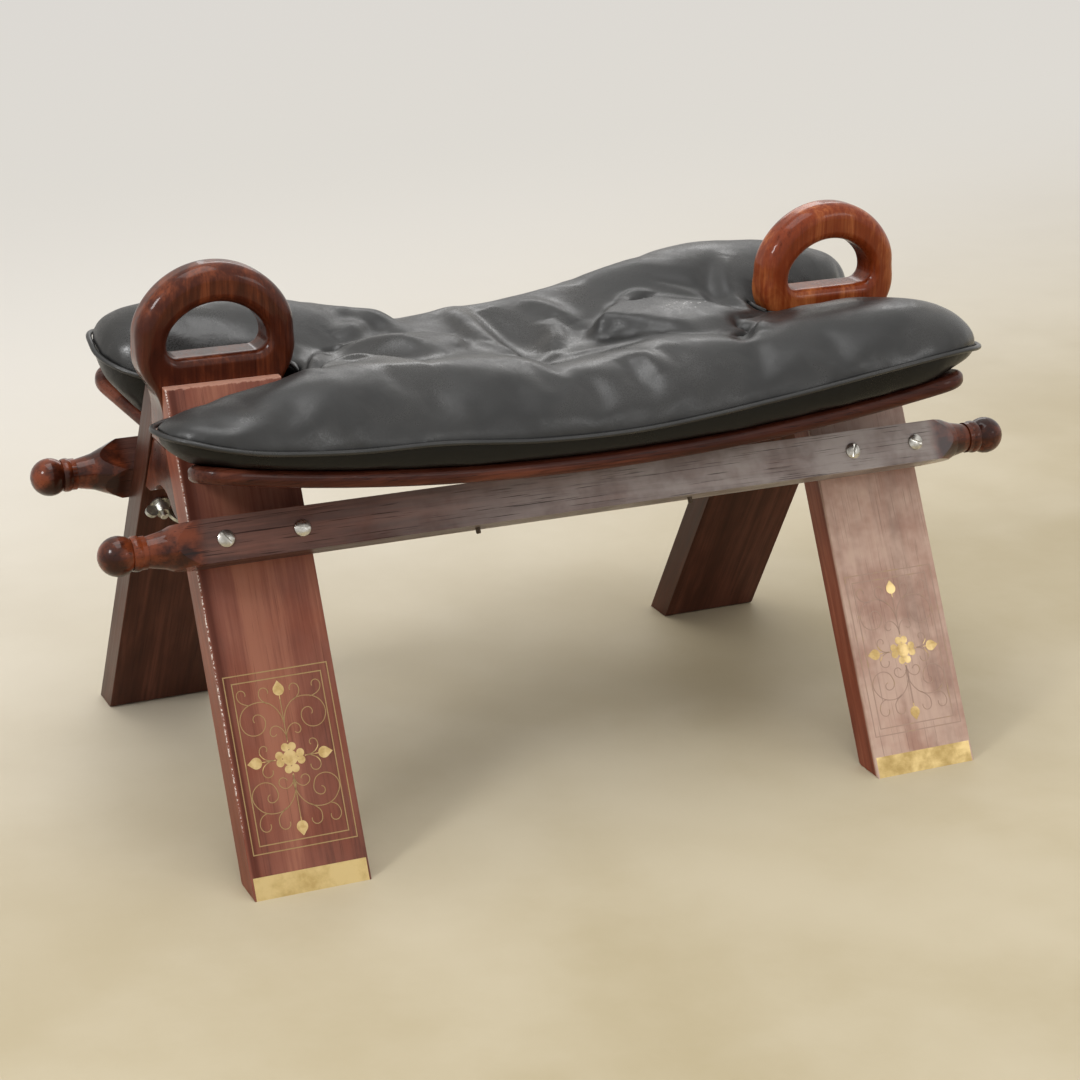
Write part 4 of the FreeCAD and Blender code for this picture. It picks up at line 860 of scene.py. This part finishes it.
@dataclass
class SaddleCushion:
    """A slack leather pad over both boards, notched at its ends for the pommels.

    Its seam is a closed line in space, given by stops: x, y, z and how far in the top takes to
    climb. Inside it the top climbs from the seam to the crown, and the bottom follows the boards.
    """

    front: tuple = ((-252, -146, 306, 46), (-191, -142, 299, 46), (-128, -139, 296, 46), (-51, -137, 288, 46),
                    (32, -137, 287, 46), (133, -139, 297, 46), (221, -144, 310, 46), (264, -143, 315, 44),
                    (298, -132, 314, 34), (317, -118, 310, 28), (327, -102, 307, 24), (326, -86, 306, 24))
    right_notch: tuple = ((315, -69, 309, 24), (296, -40, 316, 18), (270, -18, 321, 14), (240, -17, 321, 14),
                          (208, -17, 322, 10), (194, -15, 323, 7), (189, -6, 325, 5), (189, 6, 325, 5),
                          (194, 17, 322, 8), (210, 24, 314, 14), (240, 31, 307, 26), (270, 40, 307, 28),
                          (296, 54, 307, 26), (315, 70, 308, 24))
    rear: tuple = ((326, 86, 308, 24), (327, 102, 310, 24), (317, 118, 313, 28), (298, 133, 317, 34),
                   (264, 144, 319, 44), (221, 144, 314, 46), (133, 139, 301, 46), (32, 137, 291, 46),
                   (-51, 137, 292, 46), (-128, 139, 300, 46), (-191, 142, 303, 46), (-252, 145, 311, 44),
                   (-280, 140, 318, 36), (-298, 129, 323, 28), (-308, 112, 326, 22), (-312, 92, 325, 20),
                   (-312, 76, 321, 20))
    left_notch: tuple = ((-306, 58, 317, 20), (-292, 44, 312, 22), (-270, 38, 308, 26), (-240, 31, 306, 24),
                         (-210, 24, 310, 16), (-194, 17, 316, 9), (-189, 6, 320, 6), (-189, -6, 320, 6),
                         (-194, -17, 316, 10), (-208, -27, 305, 22), (-240, -31, 304, 28), (-270, -40, 305, 30),
                         (-296, -54, 308, 28), (-314, -74, 312, 26), (-322, -92, 316, 24), (-324, -106, 318, 24),
                         (-320, -120, 318, 26), (-309, -133, 317, 32), (-286, -143, 312, 42))
    crown: tuple = (                # x, y, z of points on the top
        (-330, -102, 320), (-314, -104, 324), (-292, -100, 328), (-250, -98, 334), (-217, -94, 338),
        (-180, -92, 337), (-140, -92, 333), (-95, -88, 330), (-50, -87, 326), (0, -87, 324), (50, -88, 325),
        (100, -89, 330), (150, -90, 334), (200, -92, 339), (248, -95, 343), (270, -95, 344), (300, -97, 337),
        (330, -100, 322), (-130, -130, 322), (0, -128, 313), (130, -130, 322), (230, -132, 338),
        (-230, -132, 333), (-183, -20, 322), (-150, -8, 314), (-100, 0, 313), (-50, 0, 313), (0, -5, 308),
        (50, 0, 309), (100, 0, 316), (150, -5, 320), (188, -20, 327), (186, 12, 331), (-184, 6, 322),
        (-240, -46, 314), (-200, -50, 325), (240, -46, 331), (-290, -62, 312), (295, -60, 334), (-330, 100, 330),
        (-310, 95, 337), (-270, 80, 350), (-215, 80, 348), (-163, 80, 341), (-142, 80, 335), (-94, 80, 324),
        (-72, 80, 317), (-50, 80, 318), (-14, 80, 321), (20, 80, 321), (54, 80, 324), (91, 80, 335),
        (135, 80, 346), (165, 80, 351), (194, 80, 353), (240, 85, 351), (280, 90, 343), (310, 95, 334),
        (330, 100, 322), (-240, 45, 334), (240, 45, 340), (-290, 60, 338), (290, 60, 340), (-130, 120, 328),
        (0, 118, 317), (130, 120, 338), (230, 120, 343), (-230, 120, 340))
    tufts: tuple = (Tuft(-5, -35, 8, 15, 20), Tuft(150, -55, 8, 8, 20), Tuft(-150, 27, 7, 16, 10, 26),
                    Tuft(104, 27, 0.0, 24, 18, 16))
    folds: tuple = (
        Fold(((-34, 76), (-34, 48), (-36, 20), (-34, -6), (-24, -26)), 9, 13),
        Fold(((-14, 70), (-8, 40), (-4, 10), (-4, -20)), -7, 16),
        Fold(((26, 76), (34, 60), (42, 44), (48, 26)), 5, 10),
        Fold(((30, 38), (26, 14), (12, -10)), 6, 10),
        Fold(((-190, -46), (-178, -30), (-160, -21), (-146, -24), (-134, -42), (-126, -62)), 7, 15, Form.LIP),
        Fold(((-176, -6), (-158, -4), (-136, -8), (-118, -24), (-100, -44)), -6, 15),
        Fold(((-200, -34), (-190, -18), (-180, -2), (-168, 20)), 4, 5, Form.CREASE),
        Fold(((-188, -28), (-176, -6), (-162, 16)), 5, 8),
        Fold(((-150, 24), (-120, 12), (-94, -14)), 6, 12),
        Fold(((-142, 40), (-120, 54), (-96, 78)), 6, 12),
        Fold(((-128, 78), (-110, 60), (-100, 30)), -5, 12),
        Fold(((158, -29), (154, -40), (158, -46), (150, -54)), 5, 5, Form.CREASE),
        Fold(((184, -22), (172, -26), (160, -30)), 4, 5, Form.CREASE),
        Fold(((150, -54), (136, -58), (122, -58)), 2.5, 4, Form.CREASE),
        Fold(((194, 56), (182, 34), (176, 12), (176, -10)), 4, 8),
        Fold(((176, 52), (164, 30), (164, 8), (172, -14)), -3, 8),
        Fold(((130, 22), (150, 12), (166, 0), (176, -10)), -3, 8),
        Fold(((92, 34), (104, 38), (116, 34)), 2.5, 5),
        Fold(((162, -58), (156, -72), (146, -84)), 6, 9),
        Fold(((148, -60), (140, -74), (128, -88)), -4, 9),
        Fold(((60, -84), (66, -98), (70, -112)), -2.5, 10),
        Fold(((28, -88), (30, -102), (26, -118)), -2.5, 10),
        Fold(((44, -84), (48, -98), (50, -114)), 2, 9),
        Fold(((-220, -56), (-206, -72), (-200, -92)), 2.5, 9),
    )
    spacing: float = 4.0            # of the seam's points
    step: float = 7.0               # of the triangles inside the seam
    voxel: float = 4.5
    cap: float = 5.5                # how far the cloth run may move a point
    pressure: float = 4.0
    frames: int = 20                # length of the cloth run

    def seam(self) -> np.ndarray:
        """The seam line: a smooth closed curve through its stops, each x, y, z and the puff's reach."""
        stops = self.front + self.right_notch + self.rear + self.left_notch
        return smooth_curve(np.array(stops, float), self.spacing)

    def crown_height(self, x: np.ndarray, y: np.ndarray) -> np.ndarray:
        """Height of the crown: a thin plate bent through the crown's points.

        The height is a plane plus, for each point, a weight times r squared times log r, where r is
        the distance from it. The weights are solved from the points' own heights, with a little slack.
        """
        stops = np.array(self.crown, float)
        xy, z = stops[:, :2] / 100, stops[:, 2]

        def kernel(r: np.ndarray) -> np.ndarray:
            """r squared times log r."""
            return r * r * np.log(np.maximum(r, 1e-9))

        plane = np.hstack([np.ones((len(xy), 1)), xy])
        bend = kernel(np.linalg.norm(xy[:, None] - xy[None], axis=-1)) + 0.02 * np.eye(len(xy))
        weights = np.linalg.solve(np.block([[bend, plane], [plane.T, np.zeros((3, 3))]]),
                                  np.concatenate([z, np.zeros(3)]))
        at = np.stack([x, y], -1) / 100
        return kernel(np.linalg.norm(at[:, None] - xy, axis=-1)) @ weights[:-3] + weights[-3] + at @ weights[-2:]

    @staticmethod
    def board_height(x: np.ndarray, y: np.ndarray) -> np.ndarray:
        """Height of the boards' tops: two planes that slope up outwards at 15 degrees, bent up along X.

        Between the boards' inner edges the height is level, with a soft corner: half of the sum of
        y, the edge's y and the root of their difference squared plus the softness squared. The
        bend is an arc that rises by 28 mm at 305 mm. A board's underside passes the rail's corner.
        """
        edge, soft, reach, rise, tilt = 52, 8, 305, 28, math.radians(15)
        corner_y, corner_z, thick, over = 96.16, 247.68, 12, 0.4
        wide = 0.5 * (np.abs(y) + edge + np.sqrt((np.abs(y) - edge) ** 2 + soft ** 2))
        radius = (reach ** 2 + rise ** 2) / (2 * rise)
        lift = radius - np.sqrt(radius ** 2 - x ** 2)
        return corner_z + (wide - corner_y) * math.tan(tilt) + (lift + thick) / math.cos(tilt) + over

    def clear(self, points: np.ndarray) -> np.ndarray:
        """Points pushed out of the pommels and of the legs' sloping faces, with a little to spare."""
        leg_half, leg_top, leg_gap = 43.5, 319.5, 0.6
        pommel_from, pommel_to, pommel_half = 190.4, 309, 15.4
        moved = points.copy()
        x, y, z = np.abs(moved[:, 0]), np.abs(moved[:, 1]), moved[:, 2]
        leg = np.where(np.abs(x - LEG_X) < leg_half, LEG_FOOT - z * math.tan(SPLAY) + leg_gap, 0)
        pommel = np.where((x > pommel_from) & (x < pommel_to), pommel_half, 0)
        least = np.maximum(np.where(z < leg_top, leg, 0), pommel)
        sign = np.where(moved[:, 1] < 0, -1, 1)
        moved[:, 1] = np.where(y < least, sign * least, moved[:, 1])
        moved[:, 2] = np.maximum(moved[:, 2], self.board_height(moved[:, 0], moved[:, 1]))
        return moved

    def plan(self, ring: np.ndarray) -> tuple[np.ndarray, list]:
        """Triangles that fill a closed line in the plane.

        Of a triangular grid, whose rows lie 0.87 of its step apart, the points inside the line by
        the even-odd rule and more than 4 mm from it are kept. A Delaunay triangulation joins them.

        Args:
            ring: (n, 2) points of the line.

        Returns:
            Points and faces.
        """
        count = len(ring)
        xs, ys = np.meshgrid(np.arange(-335, 336, self.step), np.arange(-150, 151, self.step * 0.87))
        xs = xs + np.where(np.arange(len(xs)) % 2, self.step / 2, 0)[:, None]
        inner = np.stack([xs.ravel(), ys.ravel()], 1)
        gap = np.linalg.norm(inner[:, None] - ring[None], axis=-1).min(1)
        after = np.roll(ring, -1, axis=0)
        crossing = ((ring[None, :, 1] > inner[:, 1:]) != (after[None, :, 1] > inner[:, 1:])) & (
            inner[:, :1] < (after - ring)[None, :, 0] * (inner[:, 1:] - ring[None, :, 1])
            / ((after - ring)[None, :, 1] + 1e-12) + ring[None, :, 0])
        inner = inner[(crossing.sum(1) % 2 == 1) & (gap > 4.0)]
        edges = [(k, (k + 1) % count) for k in range(count)]
        cut = delaunay_2d_cdt([Vector(p) for p in np.vstack([ring, inner])], edges, [list(range(count))], 1, 1e-6)
        return np.array([tuple(v) for v in cut[0]]), [list(f) for f in cut[2]]

    def body(self, seam: np.ndarray) -> tuple[np.ndarray, list]:
        """The closed shape before it is blown up.

        Above the seam the height climbs from the seam to the crown as a superellipse of the
        distance from the seam. Below it a band leans inwards to the bottom edge, which lies 3 mm
        inside the seam, and 23 mm at the tips. Halfway down the band has a quarter of that inset.

        Args:
            seam: (n, 4) points of the seam, and how far in from it the top takes to climb.

        Returns:
            Points and faces.
        """
        flat, power, least_rise, fade = seam[:, :2], 2.1, 4, 14.0
        plan, faces = self.plan(flat)
        away = np.linalg.norm(plan[:, None] - flat[None], axis=-1)
        nearest, gap = away.argmin(1), away.min(1)
        base, reach = seam[nearest, 2], seam[nearest, 3]
        climb = (1 - (1 - np.clip(gap / reach, 0, 1)) ** power) ** (1 / power)
        top = base + (np.maximum(self.crown_height(plan[:, 0], plan[:, 1]), base + least_rise) - base) * climb
        for tuft in self.tufts:
            top -= tuft.sink(plan[:, 0], plan[:, 1], sharp=False)
        ring = np.array([int(np.argmin(np.linalg.norm(plan - p, axis=1))) for p in flat])
        tangent = unit(np.roll(flat, -1, 0) - np.roll(flat, 1, 0))
        inward = np.stack([-tangent[:, 1], tangent[:, 0]], 1)
        inset = (3.0 + 20.0 * np.clip((np.abs(flat[:, 0]) - 275) / 40, 0, 1))[:, None]
        shift = (inward * inset)[nearest] * np.exp(-(gap / fade) ** 2)[:, None]
        shift[ring] = inward * inset
        under = plan + shift
        bottom = self.board_height(under[:, 0], under[:, 1])
        band = np.column_stack([flat + 0.25 * inward * inset, 0.45 * seam[:, 2] + 0.55 * bottom[ring]])
        points = np.vstack([np.column_stack([plan, top]), np.column_stack([under, bottom]), band])
        size, count = len(plan), len(seam)
        faces += [[k + size for k in reversed(f)] for f in faces]
        after = np.roll(ring, -1)
        for k in range(count):
            here, there = 2 * size + k, 2 * size + (k + 1) % count
            faces.append([after[k], ring[k], here, there])
            faces.append([there, here, ring[k] + size, after[k] + size])
        return self.clear(points), faces

    def inflate(self, piece: Piece, seam: np.ndarray) -> None:
        """Blow the pad up as cloth held at its bottom, its seam and its tufts.

        Args:
            piece: the remeshed pad; its points are moved.
            seam: (n, 4) points of the seam.
        """
        mesh = piece.data
        start = read(mesh) / MM
        hold = 6.0                  # what lies this near the seam, the boards or a tuft stays
        near_seam = np.linalg.norm(start[:, None, :] - seam[None, ::2, :3], axis=-1).min(1) < hold
        held = near_seam | (start[:, 2] < self.board_height(start[:, 0], start[:, 1]) + hold)
        for tuft in (tuft for tuft in self.tufts if tuft.depth):
            held |= np.hypot(start[:, 0] - tuft.x, start[:, 1] - tuft.y) < hold
        group = piece.vertex_groups.new(name="held")
        group.add(np.nonzero(held)[0].tolist(), 1.0, "REPLACE")
        cloth = piece.modifiers.new("cloth", "CLOTH")
        for key, given in {"quality": 6, "mass": 0.35, "tension_stiffness": 12, "compression_stiffness": 12,
                           "bending_stiffness": 1.2, "use_pressure": True,
                           "uniform_pressure_force": self.pressure, "shrink_min": -0.012,
                           "vertex_group_mass": "held"}.items():
            setattr(cloth.settings, key, given)
        cloth.settings.effector_weights.gravity = 0
        cloth.collision_settings.use_collision = False
        cloth.point_cache.frame_start, cloth.point_cache.frame_end = 1, self.frames
        scene = bpy.context.scene
        for frame in range(1, self.frames + 1):
            scene.frame_set(frame)
        seen = piece.evaluated_get(bpy.context.evaluated_depsgraph_get())
        end = read(seen.to_mesh()) / MM
        seen.to_mesh_clear()
        move = self.relaxed(mesh, end - start, 5)
        far = np.linalg.norm(move, axis=1)[:, None]
        move *= np.minimum(1, self.cap / np.maximum(far, 1e-6))
        piece.modifiers.remove(cloth)
        scene.frame_set(1)
        write(mesh, self.clear(start + move))
        LOG.info("cushion blown up: largest move %.1f mm, mean %.1f mm", far.max(), far.mean())

    def mark_band(self, piece: Piece, seam: np.ndarray) -> None:
        """Write how far each point lies in the band under the seam, as the attribute band.

        It goes from 0 at 0.5 mm under the seam to 1 at 3 mm.
        """
        points, ring = read(piece.data) / MM, seam[::3]
        share = np.empty(len(points))
        for part in np.array_split(np.arange(len(points)), 40):
            near = np.linalg.norm(points[part, None, :2] - ring[None, :, :2], axis=-1).argmin(1)
            share[part] = np.clip((ring[near, 2] - 0.5 - points[part, 2]) / 2.5, 0, 1)
        piece.data.attributes.new("band", "FLOAT", "POINT").data.foreach_set("value", share)

    @staticmethod
    def relaxed(mesh: bpy.types.Mesh, values: np.ndarray, times: int) -> np.ndarray:
        """Values at the points evened out: each is half its own and half its neighbours' mean, again and again."""
        ends = np.empty(len(mesh.edges) * 2, int)
        mesh.edges.foreach_get("vertices", ends)
        one, two = ends.reshape(-1, 2).T
        count = np.bincount(ends, minlength=len(values))[:, None]
        for _ in range(times):
            total = np.zeros_like(values)
            for axis in range(values.shape[1]):
                total[:, axis] = (np.bincount(one, values[two, axis], len(values))
                                  + np.bincount(two, values[one, axis], len(values)))
            values = 0.5 * values + 0.5 * total / count
        return values

    def sculpt(self, piece: Piece) -> None:
        """Press the slits and folds into the smooth pad, on its upper side only."""
        points, normals = read(piece.data) / MM, read(piece.data, "normal")
        least = 0.15                # of a normal's upward part, from which folds are made
        chosen = np.nonzero(normals[:, 2] > least)[0]
        x, y = points[chosen, 0], points[chosen, 1]
        rise = np.zeros(len(chosen))
        for fold in self.folds:
            rise += fold.rise(x, y)
        for tuft in self.tufts:
            rise -= tuft.sink(x, y, sharp=True)
        share = np.clip((normals[chosen, 2] - least) / 0.3, 0, 1)
        points[chosen] += normals[chosen] * (rise * share)[:, None]
        write(piece.data, self.clear(points))

    @staticmethod
    def finish(piece: Piece, kind: str, **settings: object) -> None:
        """Add a modifier and make its result the mesh."""
        modifier = piece.modifiers.new(kind.lower(), kind)
        for key, setting in settings.items():
            setattr(modifier, key, setting)
        made = bpy.data.meshes.new_from_object(piece.evaluated_get(bpy.context.evaluated_depsgraph_get()))
        piece.modifiers.clear()
        piece.data = made
        made.polygons.foreach_set("use_smooth", [True] * len(made.polygons))

    def welt(self, seam: np.ndarray) -> Piece:
        """The seam's raised edge: a small round bead along the seam, a little outside it."""
        seam = seam[:, :3]
        half_width, half_height, out, down = 2.2, 1.9, 1.1, 0.8
        ahead = unit(np.roll(seam, -1, 0) - np.roll(seam, 1, 0))
        outwards = unit(np.cross(ahead, (0, 0, 1)))
        turn = np.linspace(0, 2 * math.pi, 10, endpoint=False)
        section = np.stack([half_width * np.cos(turn) + out, half_height * np.sin(turn) - down], 1)
        points, faces = sweep(seam, outwards, np.cross(outwards, ahead), section, closed=True)
        return make_object("cushion_welt", self.clear(points), faces)

    def build(self, finishes: Finishes) -> Piece:
        """Make the pad and its seam, and dress them."""
        seam = self.seam()
        piece = make_object("cushion_pad", *self.body(seam))
        self.finish(piece, "REMESH", mode="VOXEL", voxel_size=self.voxel * MM)
        self.finish(piece, "SMOOTH", factor=0.5, iterations=8)
        self.inflate(piece, seam)
        self.finish(piece, "SUBSURF", levels=1, render_levels=1)
        self.sculpt(piece)
        self.mark_band(piece, seam)
        piece.data.materials.append(finishes.of_node("cushion"))
        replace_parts(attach(piece, ROOT), "cushion")
        bead = self.welt(seam)
        bead.data.materials.append(finishes.of_node("cushion"))
        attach(bead, ROOT)
        LOG.info("cushion made: %d faces", len(piece.data.polygons))
        return piece


def main() -> None:
    """Load the frame and build everything round it."""
    logging.basicConfig(level=logging.INFO, format="%(name)s: %(message)s")
    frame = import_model()
    Studio().build()
    finishes = Finishes()
    finishes.dress(frame["nodes"])
    ScrollWork().build(finishes)
    SaddleCushion().build(finishes)
    bpy.context.scene.view_settings.view_transform = "Standard"


if __name__ == "__main__":
    main()
